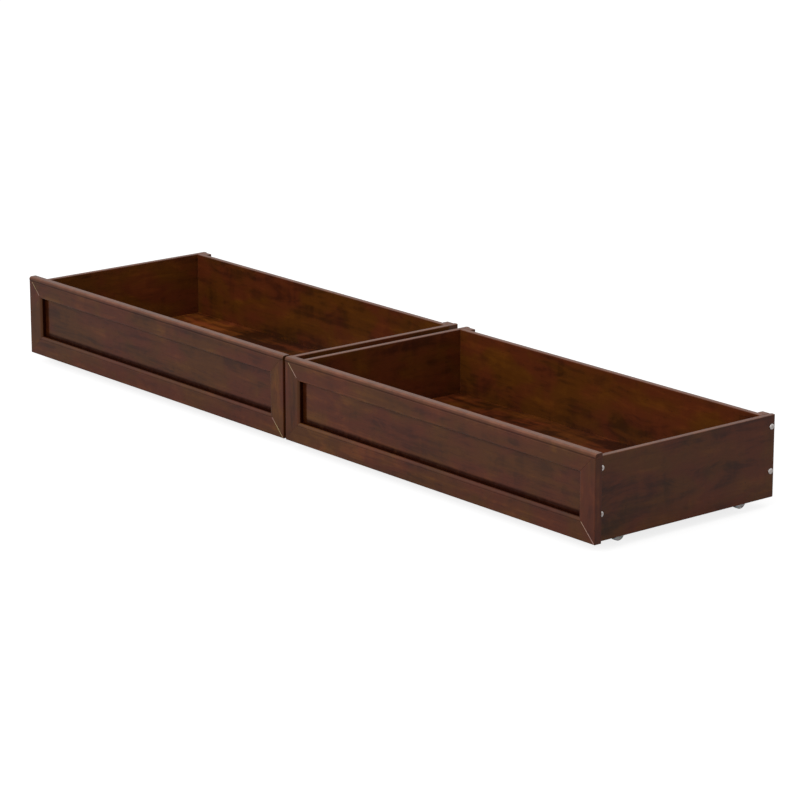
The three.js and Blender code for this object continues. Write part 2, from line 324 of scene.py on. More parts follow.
@dataclass(frozen=True)
class GrainFigures:
    """The figures of the stained wood, x along the grain, and how much each tells."""

    streaks: Figure = Figure((2.4, 48.0, 48.0), 4.0, 0.6, 0.35, 0.36, 0.66)
    lines: Figure = Figure((9.0, 300.0, 300.0), 3.0, 0.65, 0.25, 0.56, 0.74)
    pores: Figure = Figure((60.0, 1200.0, 1200.0), 2.0, 0.6, 0.0, 0.6, 0.76)
    cloud: Figure = Figure((3.2, 11.0, 11.0), 3.0, 0.55, 0.8, 0.34, 0.66, 0.8)
    blotch: Figure = Figure((10.0, 30.0, 30.0), 3.0, 0.6, 1.2, 0.34, 0.66, 0.75)
    ribbon: Figure = Figure((36.0, 6.0, 6.0), 2.0, 0.5, 0.3, 0.38, 0.64, 0.28)
    flecks: Figure = Figure((95.0, 330.0, 330.0), 2.0, 0.7, 0.5, 0.62, 0.78, 1.3)
    hue: Figure = Figure((9.0, 15.0, 15.0), 2.0, 0.5, 0.4, 0.36, 0.64)
    red: Colour = (1.05, 0.86, 1.25)
    olive: Colour = (0.96, 1.2, 0.68)
    knots: Point = (5.2, 1.6, 8.0)
    knot_scatter: float = 0.85
    knot_core: float = 0.03
    knot_reach: float = 0.17
    knot_ragged: float = 0.05
    stave_length: float = 0.29
    stave_height: float = 0.056
    stave_stagger: float = 0.37
    middle_tone: float = 0.5
    darkest_tone: float = -0.15
    lightest_tone: float = 1.15
    streak_relief: float = 0.3


def stained_grain_group(wood: GrainFigures = GrainFigures()) -> bpy.types.NodeTree:
    """Blotchy stained hardwood: streaks, ribbons, fine lines, pores, flecks, knots and staves.

    Args:
        wood: Its figures.

    Returns:
        A group with Color, Sheen Mask and Height outputs.
    """
    g = GroupBuilder("stained_grain")
    g.input("Vector", "Vector")
    for name in ("Deep Stain", "Stain", "Thin Stain"):
        g.input(name, "Color")
    for name in ("Mottle", "Streaks", "Lines", "Pores", "Knots", "Staves", "Hue Shift"):
        g.input(name, "Float")
    vector = g.given("Vector")

    def weight(name: str, share: float) -> object:
        """A share of a named input."""
        return g.times(g.given(name), share)

    streaks, lines, pores, cloud, blotch, ribbon, flecks = (
        g.figure(vector, figure)
        for figure in (
            wood.streaks, wood.lines, wood.pores, wood.cloud, wood.blotch, wood.ribbon, wood.flecks,
        )
    )
    staves = g.staves(vector, wood.stave_length, wood.stave_height, wood.stave_stagger)
    ragged = g.times(g.minus(blotch, 0.5), wood.knot_ragged)
    reach = g.plus(g.spots(g.scaled(vector, wood.knots), wood.knot_scatter), ragged)
    knots = g.minus(1.0, g.band(reach, wood.knot_core, wood.knot_reach))
    tone = wood.middle_tone
    for part, name, share in (
        (streaks, "Streaks", wood.streaks.share), (cloud, "Mottle", wood.cloud.share),
        (blotch, "Mottle", wood.blotch.share), (ribbon, "Mottle", wood.ribbon.share), (staves, "Staves", 1.0),
    ):
        tone = g.plus(g.times(g.minus(part, 0.5), weight(name, share)), tone)
    dark = g.band(tone, wood.darkest_tone, wood.middle_tone)
    dark_half = g.mix(dark, g.given("Deep Stain"), g.given("Stain"))
    light = g.band(tone, wood.middle_tone, wood.lightest_tone)
    colour = g.mix(light, dark_half, g.given("Thin Stain"))
    tint = g.mix(g.figure(vector, wood.hue), (*wood.red, 1.0), (*wood.olive, 1.0))
    colour = g.mix(g.given("Hue Shift"), colour, g.scaled(colour, tint))
    marks = g.times(lines, g.given("Lines"))
    for mask, name, share in (
        (pores, "Pores", wood.pores.share), (flecks, "Pores", wood.flecks.share), (knots, "Knots", 1.0),
    ):
        marks = g.plus(marks, g.times(mask, weight(name, share)))
    marks = g.maths("MINIMUM", marks, 1.0)
    height = g.minus(g.times(streaks, wood.streak_relief), marks)
    g.output("Color", "Color", g.mix(marks, colour, g.given("Deep Stain")))
    g.output("Sheen Mask", "Float", g.minus(cloud, marks))
    g.output("Height", "Float", height)
    return g.tree


def edge_rub_group(
    patches: Figure = Figure((38.0,) * 3, 3.0, 0.6, 0.3, 0.3, 0.75, 0.45),
) -> bpy.types.NodeTree:
    """Lighter colour on edges where handling and sanding took off some finish, and a painted highlight on
    upward faces near the rims.

    Args:
        patches: Where it is strongest.

    Returns:
        A group with Color and Mask outputs.
    """
    g = GroupBuilder("edge_rub")
    g.input("Vector", "Vector")
    for name in ("Color", "Rubbed Color"):
        g.input(name, "Color")
    for name in ("Edge", "Amount"):
        g.input(name, "Float")
    evened = g.plus(g.times(g.figure(g.given("Vector"), patches), patches.share), 1.0 - patches.share)
    mask = g.times(g.times(evened, g.given("Edge")), g.given("Amount"))
    g.output("Color", "Color", g.mix(mask, g.given("Color"), g.given("Rubbed Color")))
    g.output("Mask", "Float", mask)
    return g.tree


def pooled_glaze_group(
    ragged: Figure = Figure((70.0,) * 3, 3.0, 0.6, 0.4, share=0.7),
    dulling: float = 0.9,
    thinning: float = 0.5,
) -> bpy.types.NodeTree:
    """Painted shade in the corners of the mouldings, which also dulls the lacquer there, and how much lacquer
    is left over it.

    Args:
        ragged: How uneven the painted shade is.
        dulling: Share of the lacquer that the darkest painted shade takes away, so that no reflection shows
            there.
        thinning: Share of the lacquer that the strongest wear and painted highlight take away.

    Returns:
        A group with Color and Lacquer outputs.
    """
    g = GroupBuilder("pooled_glaze")
    g.input("Vector", "Vector")
    for name in ("Color", "Glaze Color"):
        g.input(name, "Color")
    for name in ("Depth", "Lacquer", "Worn"):
        g.input(name, "Float")
    uneven = g.plus(g.times(g.minus(g.noise(g.given("Vector"), ragged), 0.5), ragged.share), 1.0)
    mask = g.maths("MINIMUM", g.times(g.given("Depth"), uneven), 1.0)
    dulled = g.minus(1.0, g.times(mask, dulling))
    lacquer_kept = g.minus(1.0, g.times(g.given("Worn"), thinning))
    g.output("Color", "Color", g.mix(mask, g.given("Color"), g.given("Glaze Color")))
    g.output("Lacquer", "Float", g.times(g.given("Lacquer"), g.times(dulled, lacquer_kept)))
    return g.tree


def surface_film_group(
    slow: Figure = Figure((14.0,) * 3, 3.0, 0.5, 0.2),
    peel: Figure = Figure((420.0,) * 3, 2.0, 0.5, 0.0, share=0.25),
) -> bpy.types.NodeTree:
    """Slow waviness and fine specks of a sprayed, plated or moulded surface.

    Args:
        slow: The waviness.
        peel: The specks.

    Returns:
        A group with Roughness and Height outputs.
    """
    g = GroupBuilder("surface_film")
    g.input("Vector", "Vector")
    for name in ("Roughness", "Variation", "Mask"):
        g.input(name, "Float")
    waves = g.noise(g.given("Vector"), slow)
    specks = g.noise(g.given("Vector"), peel)
    swing = g.plus(g.minus(waves, 0.5), g.minus(0.5, g.given("Mask")))
    g.output("Roughness", "Float", g.plus(g.given("Roughness"), g.times(swing, g.given("Variation"))))
    g.output("Height", "Float", g.plus(waves, g.times(specks, peel.share)))
    return g.tree


# ---------------------------------------------------------------- finishes


class MaterialSheet:
    """One material's node tree, with short calls to lay its nodes."""

    def __init__(self, name: str) -> None:
        """Start a material with a Principled BSDF.

        Args:
            name: Name of the material.
        """
        self.material = bpy.data.materials.new(name)
        self.material.use_nodes = True
        self.tree = self.material.node_tree
        self.shader = self.tree.nodes["Principled BSDF"]

    def node(self, kind: str) -> bpy.types.Node:
        """A new node of this kind."""
        return self.tree.nodes.new(kind)

    def place(self, group: bpy.types.NodeTree, **values: object) -> bpy.types.Node:
        """Place a group and feed its inputs.

        Args:
            group: The node group.
            values: Input names, with "_" for a space, and their sockets or constants.

        Returns:
            The group's node.
        """
        node = self.node("ShaderNodeGroup")
        node.node_tree = group
        for key, value in values.items():
            self.feed(value, node.inputs[key.replace("_", " ")])
        return node

    def feed(self, value: object, socket: bpy.types.NodeSocket) -> None:
        """Join a socket, or set a plain value, on an input.

        Args:
            value: A socket, a number or a colour of three numbers.
            socket: The input to feed.
        """
        if isinstance(value, bpy.types.NodeSocket):
            self.tree.links.new(value, socket)
        elif isinstance(value, tuple) and len(value) == 3 and socket.type == "RGBA":
            socket.default_value = (*value, 1.0)
        else:
            socket.default_value = value

    def set(self, **values: object) -> None:
        """Feed inputs of the shader itself, named with "_" for a space."""
        for key, value in values.items():
            self.feed(value, self.shader.inputs[key.replace("_", " ")])

    def mapped(self, turn: Point = (0.0, 0.0, 0.0)) -> bpy.types.NodeSocket:
        """Object coordinates, turned.

        Args:
            turn: Euler angles of the pattern.

        Returns:
            The mapped vector's socket.
        """
        coordinates = self.node("ShaderNodeTexCoord")
        mapping = self.node("ShaderNodeMapping")
        mapping.inputs["Rotation"].default_value = turn
        self.tree.links.new(coordinates.outputs["Object"], mapping.inputs["Vector"])
        return mapping.outputs["Vector"]

    def attribute(self, name: str) -> bpy.types.NodeSocket:
        """A named attribute of the piece.

        Args:
            name: Name of the attribute.

        Returns:
            The socket of its value.
        """
        node = self.node("ShaderNodeAttribute")
        node.attribute_name = name
        return node.outputs["Fac"]

    def bump(self, height: bpy.types.NodeSocket, strength: float, distance: float) -> None:
        """Raise the surface by a height mask.

        Args:
            height: The mask.
            strength: Share of the full effect.
            distance: Depth in metres.
        """
        node = self.node("ShaderNodeBump")
        node.inputs["Strength"].default_value = strength
        node.inputs["Distance"].default_value = distance
        self.tree.links.new(height, node.inputs["Height"])
        self.tree.links.new(node.outputs["Normal"], self.shader.inputs["Normal"])


@dataclass(frozen=True)
class SharedGroups:
    """The shader groups that the finishes share."""

    grain: bpy.types.NodeTree
    rub: bpy.types.NodeTree
    glaze: bpy.types.NodeTree
    film: bpy.types.NodeTree


@dataclass(frozen=True)
class StainedWood:
    """Dark walnut stain under lacquer."""

    name: str
    slot: str
    deep: Colour
    stain: Colour
    thin: Colour
    # Colour of worn edges, and of the painted highlight on upward faces near the rims.
    rubbed: Colour = (0.30, 0.125, 0.075)
    # Colour of the painted shade in the recesses.
    glaze: Colour = (0.020, 0.0030, 0.0006)
    mottle: float = 0.5
    streaks: float = 0.4
    lines: float = 0.55
    pores: float = 0.6
    knots: float = 0.0
    staves: float = 0.0
    hue_shift: float = 0.8
    roughness: float = 0.45
    specular: float = 0.05
    coat: float = 0.74
    coat_roughness: float = 0.1
    # Strength of the worn-edge colour and of the painted highlight.
    rub_amount: float = 0.9
    variation: float = 0.12
    relief: float = 0.35
    relief_depth: float = 0.12 * MM

    def material(self, grain: Grain, groups: SharedGroups) -> bpy.types.Material:
        """Make this finish for boards whose grain runs one way.

        Args:
            grain: Direction of the grain.
            groups: The shared shader groups.

        Returns:
            The material.
        """
        sheet = MaterialSheet(f"{self.name}_{grain.name.lower()}")
        vector = sheet.mapped(grain.value)
        figure = sheet.place(
            groups.grain, Vector=vector, Deep_Stain=self.deep, Stain=self.stain, Thin_Stain=self.thin,
            Mottle=self.mottle, Streaks=self.streaks, Lines=self.lines, Pores=self.pores,
            Knots=self.knots, Staves=self.staves, Hue_Shift=self.hue_shift,
        )
        # Lighter colour for worn edges and for the painted highlight on upward faces.
        rubbed = sheet.place(
            groups.rub, Vector=vector, Color=figure.outputs["Color"], Rubbed_Color=self.rubbed,
            Edge=sheet.attribute(WEAR_AND_HIGHLIGHT), Amount=self.rub_amount,
        )
        # Painted shade in the recesses, which also dulls the lacquer there.
        glazed = sheet.place(
            groups.glaze, Vector=vector, Color=rubbed.outputs["Color"], Glaze_Color=self.glaze,
            Depth=sheet.attribute(PAINTED_SHADE), Lacquer=self.coat, Worn=rubbed.outputs["Mask"],
        )
        film = sheet.place(
            groups.film, Vector=vector, Roughness=self.roughness, Variation=self.variation,
            Mask=figure.outputs["Sheen Mask"],
        )
        sheet.set(
            Base_Color=glazed.outputs["Color"], Roughness=film.outputs["Roughness"], Metallic=0.0,
            Specular_IOR_Level=self.specular, Coat_Weight=glazed.outputs["Lacquer"],
            Coat_Roughness=self.coat_roughness,
        )
        sheet.bump(figure.outputs["Height"], self.relief, self.relief_depth)
        return sheet.material


@dataclass(frozen=True)
class PlainFinish:
    """A finish without grain, rubbed at its edges and under a fine film."""

    name: str
    slot: str
    colour: Colour
    rubbed: Colour
    roughness: float
    rub_amount: float
    variation: float
    relief: float
    relief_depth: float

    def constants(self) -> dict[str, float]:
        """Values of the shader that only this kind of finish sets."""
        return {}

    def material(self, groups: SharedGroups) -> bpy.types.Material:
        """Make this finish.

        Args:
            groups: The shared shader groups.

        Returns:
            The material.
        """
        sheet = MaterialSheet(self.name)
        vector = sheet.mapped()
        rubbed = sheet.place(
            groups.rub, Vector=vector, Color=self.colour, Rubbed_Color=self.rubbed,
            Edge=sheet.attribute(WEAR_AND_HIGHLIGHT), Amount=self.rub_amount,
        )
        film = sheet.place(
            groups.film, Vector=vector, Roughness=self.roughness, Variation=self.variation,
            Mask=rubbed.outputs["Mask"],
        )
        sheet.set(
            Base_Color=rubbed.outputs["Color"], Roughness=film.outputs["Roughness"], **self.constants(),
        )
        sheet.bump(film.outputs["Height"], self.relief, self.relief_depth)
        return sheet.material


@dataclass(frozen=True)
class PlatedMetal(PlainFinish):
    """Plated steel, brighter where it is rubbed."""

    rub_amount: float = 0.6
    variation: float = 0.16
    relief: float = 0.2
    relief_depth: float = 0.05 * MM

    def constants(self) -> dict[str, float]:
        """Bare metal all over."""
        return {"Metallic": 1.0}


@dataclass(frozen=True)
class MouldedNylon(PlainFinish):
    """Off-white moulded nylon, a little scuffed."""

    rub_amount: float = 0.5
    variation: float = 0.2
    relief: float = 0.3
    relief_depth: float = 0.08 * MM

    def constants(self) -> dict[str, float]:
        """Light that soaks a little way in."""
        return {"Subsurface_Weight": 0.1, "Subsurface_Scale": 2.0 * MM}


FRONT_WOOD = StainedWood(
    name="front_walnut", slot="front_wood",
    deep=(0.046, 0.0115, 0.0040), stain=(0.090, 0.0225, 0.006), thin=(0.146, 0.042, 0.008),
)
CASE_WOOD = StainedWood(
    name="case_walnut", slot="case_wood",
    deep=(0.048, 0.0125, 0.0038), stain=(0.106, 0.0262, 0.0056), thin=(0.150, 0.040, 0.007),
    mottle=0.55, streaks=0.26, lines=0.3, knots=0.5, staves=0.2,
)
BOTTOM_WOOD = StainedWood(
    name="bottom_walnut", slot="bottom_wood",
    deep=(0.052, 0.0125, 0.003), stain=(0.155, 0.037, 0.0078), thin=(0.310, 0.080, 0.017),
    mottle=0.8, streaks=0.5, knots=0.3, staves=0.4, hue_shift=0.6,
    coat=0.3, coat_roughness=0.2,
)
# Pale strips in two mitres: a painted highlight for the glint that the arrises of these mitres catch.
MITRE_HIGHLIGHT = StainedWood(
    name="mitre_filler", slot="front_wood",
    deep=(0.38, 0.23, 0.17), stain=(0.50, 0.32, 0.25), thin=(0.58, 0.40, 0.32),
    rubbed=(0.58, 0.40, 0.32), coat=0.3,
)
NICKEL = PlatedMetal(
    name="plated_nickel", slot="bolt_nickel", colour=(0.96, 0.90, 0.87), rubbed=(1.0, 0.96, 0.94),
    roughness=0.34,
)
ZINC = PlatedMetal(
    name="zinc_sheet", slot="caster_zinc", colour=(0.74, 0.75, 0.76), rubbed=(0.86, 0.86, 0.86),
    roughness=0.42,
)
NYLON = MouldedNylon(
    name="wheel_nylon", slot="wheel_nylon", colour=(0.93, 0.92, 0.89), rubbed=(0.72, 0.70, 0.66),
    roughness=0.42,
)


class Palette:
    """Makes each finish once and hands it out by kind and grain."""

    def __init__(self) -> None:
        """Build the shared groups and the materials."""
        self.groups = SharedGroups(
            stained_grain_group(), edge_rub_group(), pooled_glaze_group(), surface_film_group(),
        )
        self.woods = {
            (wood.name, grain): wood.material(grain, self.groups)
            for wood in (FRONT_WOOD, CASE_WOOD, BOTTOM_WOOD, MITRE_HIGHLIGHT)
            for grain in Grain
        }
        self.plain = {finish.name: finish.material(self.groups) for finish in (NICKEL, ZINC, NYLON)}

    def wood(self, finish: StainedWood, grain: Grain) -> bpy.types.Material:
        """The wood material of this finish and grain."""
        return self.woods[finish.name, grain]

    def other(self, finish: PlainFinish) -> bpy.types.Material:
        """The material of a finish without grain."""
        return self.plain[finish.name]


# ---------------------------------------------------------------- mesh helpers


@dataclass(frozen=True)
class Corner:
    """A corner of a moulding's section: place, radius and how much lighter colour its round takes, for worn
    finish and for painted highlight.
    """

    across: float
    deep: float
    radius: float = 0.0
    rubbed: float = 0.0


def new_mesh() -> bmesh.types.BMesh:
    """An empty mesh that can note its faces with worn finish and painted highlight, and its corners with
    painted shade.

    Returns:
        The mesh.
    """
    mesh = bmesh.new()
    mesh.faces.layers.float.new(WEAR_AND_HIGHLIGHT)
    mesh.verts.layers.float.new(PAINTED_SHADE)
    return mesh


def rub(mesh: bmesh.types.BMesh, faces: Iterable[bmesh.types.BMFace], amount: float) -> None:
    """Note how much lighter colour some faces take: finish rubbed off their edges, and a painted highlight on
    upward faces near the rims.

    Args:
        mesh: Mesh to mark.
        faces: Its faces with the lighter colour.
        amount: 0 for none of the lighter colour, 1 for the most.
    """
    layer = mesh.faces.layers.float[WEAR_AND_HIGHLIGHT]
    for face in faces:
        face[layer] = amount


def rub_rims(mesh: bmesh.types.BMesh, rim: float, steepest: float = 0.3, span: float = 0.45) -> None:
    """Paint a highlight on the faces near the top rim, the stronger the flatter they lie, as light from above
    falls on them.

    Args:
        mesh: Mesh to mark.
        rim: Lowest height that counts as the rim.
        steepest: Upward part of the normal where the painted highlight starts.
        span: How much further up the normal points where the painted highlight is full.
    """
    mesh.normal_update()
    for face in mesh.faces:
        if face.normal.z > steepest and face.calc_center_median().z > rim:
            rub(mesh, [face], min(1.0, (face.normal.z - steepest) / span))


def glaze(mesh: bmesh.types.BMesh, verts: Iterable[bmesh.types.BMVert], depth: float) -> None:
    """Note how much shade is painted at some corners, darkening recesses where shade falls.

    Args:
        mesh: Mesh to mark.
        verts: Its corners with painted shade.
        depth: 0 for no painted shade, 1 for the darkest.
    """
    layer = mesh.verts.layers.float[PAINTED_SHADE]
    for vert in verts:
        vert[layer] = depth


def ease(
    mesh: bmesh.types.BMesh, edges: Iterable[bmesh.types.BMEdge], radius: float, segments: int,
    rubbed: float = 0.3,
) -> None:
    """Round over some edges.

    Args:
        mesh: Mesh to change.
        edges: Edges to round.
        radius: Radius in metres.
        segments: Faces across the round.
        rubbed: How much lighter colour the round takes, for rubbed-off finish and, on the top rail's rims,
            for painted highlight.
    """
    made = bmesh.ops.bevel(
        mesh, geom=list(edges), offset=radius, offset_type="OFFSET", segments=segments, profile=0.5,
        affect="EDGES", clamp_overlap=True, material=-1,
    )
    rub(mesh, made["faces"], rubbed)


def sharp_edges(mesh: bmesh.types.BMesh) -> list[bmesh.types.BMEdge]:
    """Edges whose two faces meet at a fold."""
    return [e for e in mesh.edges if e.is_manifold and e.calc_face_angle(0.0) > FOLD_ANGLE]


def middle(low: Sequence[float], high: Sequence[float]) -> Vector:
    """The middle of a box."""
    return (Vector(low) + Vector(high)) / 2


def block(low: Sequence[float], high: Sequence[float]) -> bmesh.types.BMesh:
    """A rectangular block between two corners.

    Args:
        low: Lowest corner.
        high: Highest corner.

    Returns:
        Its mesh.
    """
    mesh = new_mesh()
    bmesh.ops.create_cube(mesh, size=1.0)
    bmesh.ops.scale(mesh, vec=Vector(high) - Vector(low), verts=mesh.verts)
    bmesh.ops.translate(mesh, vec=middle(low, high), verts=mesh.verts)
    return mesh


def rod(radius: float, start: Point, end: Point, segments: int) -> bmesh.types.BMesh:
    """A cylinder between two points.

    Args:
        radius: Radius of the cylinder.
        start: Centre of one end.
        end: Centre of the other end.
        segments: Sides of the cylinder.

    Returns:
        Its mesh.
    """
    axis = Vector(end) - Vector(start)
    mesh = new_mesh()
    bmesh.ops.create_cone(
        mesh, cap_ends=True, segments=segments, radius1=radius, radius2=radius, depth=axis.length,
    )
    turn = Vector((0, 0, 1)).rotation_difference(axis).to_matrix()
    bmesh.ops.rotate(mesh, cent=ORIGIN, matrix=turn, verts=mesh.verts)
    bmesh.ops.translate(mesh, vec=middle(start, end), verts=mesh.verts)
    return mesh


def turned(profile: Sequence[Spot], segments: int, centre: Point = ORIGIN) -> bmesh.types.BMesh:
    """A shape turned about an axis along +X.

    Args:
        profile: Places along the axis and radii, in order.
        segments: Steps of the turn.
        centre: Point of the axis where places start.

    Returns:
        Its mesh.
    """
    mesh = new_mesh()
    verts = [mesh.verts.new((along, 0.0, radius)) for along, radius in profile]
    edges = [mesh.edges.new(pair) for pair in zip(verts, verts[1:])]
    bmesh.ops.spin(
        mesh, geom=verts + edges, cent=ORIGIN, axis=(1, 0, 0), angle=2 * math.pi, steps=segments,
        use_merge=True,
    )
    bmesh.ops.remove_doubles(mesh, verts=mesh.verts, dist=SAME_POINT)
    bmesh.ops.recalc_face_normals(mesh, faces=mesh.faces)
    bmesh.ops.translate(mesh, vec=centre, verts=mesh.verts)
    return mesh


def arc(centre: Spot, radius: float, start: float, end: float, steps: int) -> list[Spot]:
    """Points of an arc.

    Args:
        centre: Its centre.
        radius: Its radius.
        start: Angle of its first point in degrees.
        end: Angle of its last point in degrees.
        steps: Parts that it is divided into.

    Returns:
        The points.
    """
    angles = [math.radians(start + (end - start) * i / steps) for i in range(steps + 1)]
    return [(centre[0] + radius * math.cos(a), centre[1] + radius * math.sin(a)) for a in angles]


def dome(start: float, rise: float, flat: float, radius: float, steps: int) -> list[Spot]:
    """Profile of a domed head, from its rim up to the flat on its crown.

    Args:
        start: Place of the rim along the axis.
        rise: How far the crown stands beyond the rim.
        flat: Radius of the flat.
        radius: Radius of the rim.
        steps: Parts that the round is divided into.

    Returns:
        Places along the axis and radii.
    """
    turns = [math.pi / 2 * i / steps for i in range(steps + 1)]
    return [(start + rise * math.sin(turn), flat + (radius - flat) * math.cos(turn)) for turn in turns]


def prism(outline: Sequence[Point], push: Point) -> bmesh.types.BMesh:
    """A flat outline pushed into a solid.

    Args:
        outline: Corners of the outline, in order.
        push: How far and which way it is extruded.

    Returns:
        Its mesh.
    """
    mesh = new_mesh()
    face = mesh.faces.new([mesh.verts.new(point) for point in outline])
    made = bmesh.ops.extrude_face_region(mesh, geom=[face], use_keep_orig=True)
    far = [item for item in made["geom"] if isinstance(item, bmesh.types.BMVert)]
    bmesh.ops.translate(mesh, vec=push, verts=far)
    bmesh.ops.recalc_face_normals(mesh, faces=mesh.faces)
    return mesh


def moulding(
    section: Sequence[Corner], place: Callable[[float, float], Point], push: Point,
) -> bmesh.types.BMesh:
    """A straight moulding whose section's corners are rounded to their own radii.

    Args:
        section: Corners of the section, in order.
        place: Gives a corner's point at the start of the length from its across and deep values.
        push: The length and direction of the moulding.

    Returns:
        Its mesh.
    """
    mesh = prism([place(c.across, c.deep) for c in section], push)
    half = Vector(push) / 2
    for corner in section:
        if corner.radius > 0:
            halfway = Vector(place(corner.across, corner.deep)) + half
            edges = [
                e for e in mesh.edges
                if (middle(*(v.co for v in e.verts)) - halfway).length < SAME_POINT
            ]
            steps = BROAD_STEPS if corner.radius > BROAD_ROUND else NARROW_STEPS
            ease(mesh, edges, corner.radius, steps, corner.rubbed)
    return mesh


def carve(mesh: bmesh.types.BMesh, tools: Sequence[bmesh.types.BMesh], operation: str) -> bmesh.types.BMesh:
    """Cut or join a mesh with others. The meshes given are used up.

    Args:
        mesh: The mesh to change.
        tools: The meshes to cut or join with.
        operation: "DIFFERENCE", "INTERSECT" or "UNION".

    Returns:
        The new mesh.
    """
    body = as_object(mesh, "carved")
    helpers = [as_object(tool, f"tool_{i}") for i, tool in enumerate(tools)]
    for helper in helpers:
        modifier = body.modifiers.new(helper.name, "BOOLEAN")
        modifier.solver = "EXACT"
        modifier.operation = operation
        modifier.object = helper
    bpy.context.view_layer.update()
    graph = bpy.context.evaluated_depsgraph_get()
    result = bmesh.new()
    result.from_object(body, graph)
    bmesh.ops.remove_doubles(result, verts=result.verts, dist=SAME_POINT)
    bmesh.ops.dissolve_degenerate(result, edges=result.edges, dist=SAME_POINT)
    for used in (body, *helpers):
        data = used.data
        bpy.data.objects.remove(used)
        bpy.data.meshes.remove(data)
    return result


def as_object(mesh: bmesh.types.BMesh, name: str) -> bpy.types.Object:
    """Turn a bmesh into an object of the scene, and free it.

    Args:
        mesh: The mesh.
        name: Name of the object.

    Returns:
        The object, at the origin.
    """
    data = bpy.data.meshes.new(name)
    mesh.to_mesh(data)
    mesh.free()
    made = bpy.data.objects.new(name, data)
    bpy.context.collection.objects.link(made)
    return made


@dataclass(frozen=True)
class Piece:
    """How a finished piece joins the object."""

    name: str
    body: str
    slot: str
    material: bpy.types.Material
    nodes: tuple[str, ...] = ()

    def publish(self, mesh: bmesh.types.BMesh) -> None:
        """Shade the mesh, dress it and fix it to its body.

        Args:
            mesh: The finished mesh.
        """
        bmesh.ops.recalc_face_normals(mesh, faces=mesh.faces)
        for face in mesh.faces:
            face.smooth = True
        made = as_object(mesh, self.name)
        made.data.set_sharp_from_angle(angle=SHADING_ANGLE)
        made.data.materials.append(self.material)
        weighted = made.modifiers.new("even_shading", "WEIGHTED_NORMAL")
        weighted.keep_sharp = True
        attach(made, self.body)
        if self.nodes:
            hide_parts(*self.nodes)
        log.info("%s: %d faces", self.name, len(made.data.polygons))


def moved(mesh: bmesh.types.BMesh, shift: Sequence[float], mirrored: bool = False) -> bmesh.types.BMesh:
    """A copy of a mesh made at the origin, put in its place.

    Args:
        mesh: The mesh to copy.
        shift: Where its origin goes.
        mirrored: Whether it is mirrored left to right first.

    Returns:
        The copy.
    """
    copy = mesh.copy()
    if mirrored:
        bmesh.ops.scale(copy, vec=(-1, 1, 1), verts=copy.verts)
        bmesh.ops.reverse_faces(copy, faces=copy.faces)
    bmesh.ops.translate(copy, vec=shift, verts=copy.verts)
    return copy


def joined(parts: Sequence[bmesh.types.BMesh]) -> bmesh.types.BMesh:
    """One mesh of several separate ones, which are freed.

    Args:
        parts: The meshes.

    Returns:
        The whole.
    """
    whole = new_mesh()
    holder = bpy.data.meshes.new("holder")
    for part in parts:
        part.to_mesh(holder)
        part.free()
        whole.from_mesh(holder)
    bpy.data.meshes.remove(holder)
    return whole


def dress_node(node: str, material: bpy.types.Material) -> None:
    """Give a carried frame node its finish.

    Args:
        node: Name of the node.
        material: The material.
    """
    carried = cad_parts[node]
    carried.data.materials.clear()
    carried.data.materials.append(material)
    log.info("%s: frame node dressed", node)


# ---------------------------------------------------------------- front


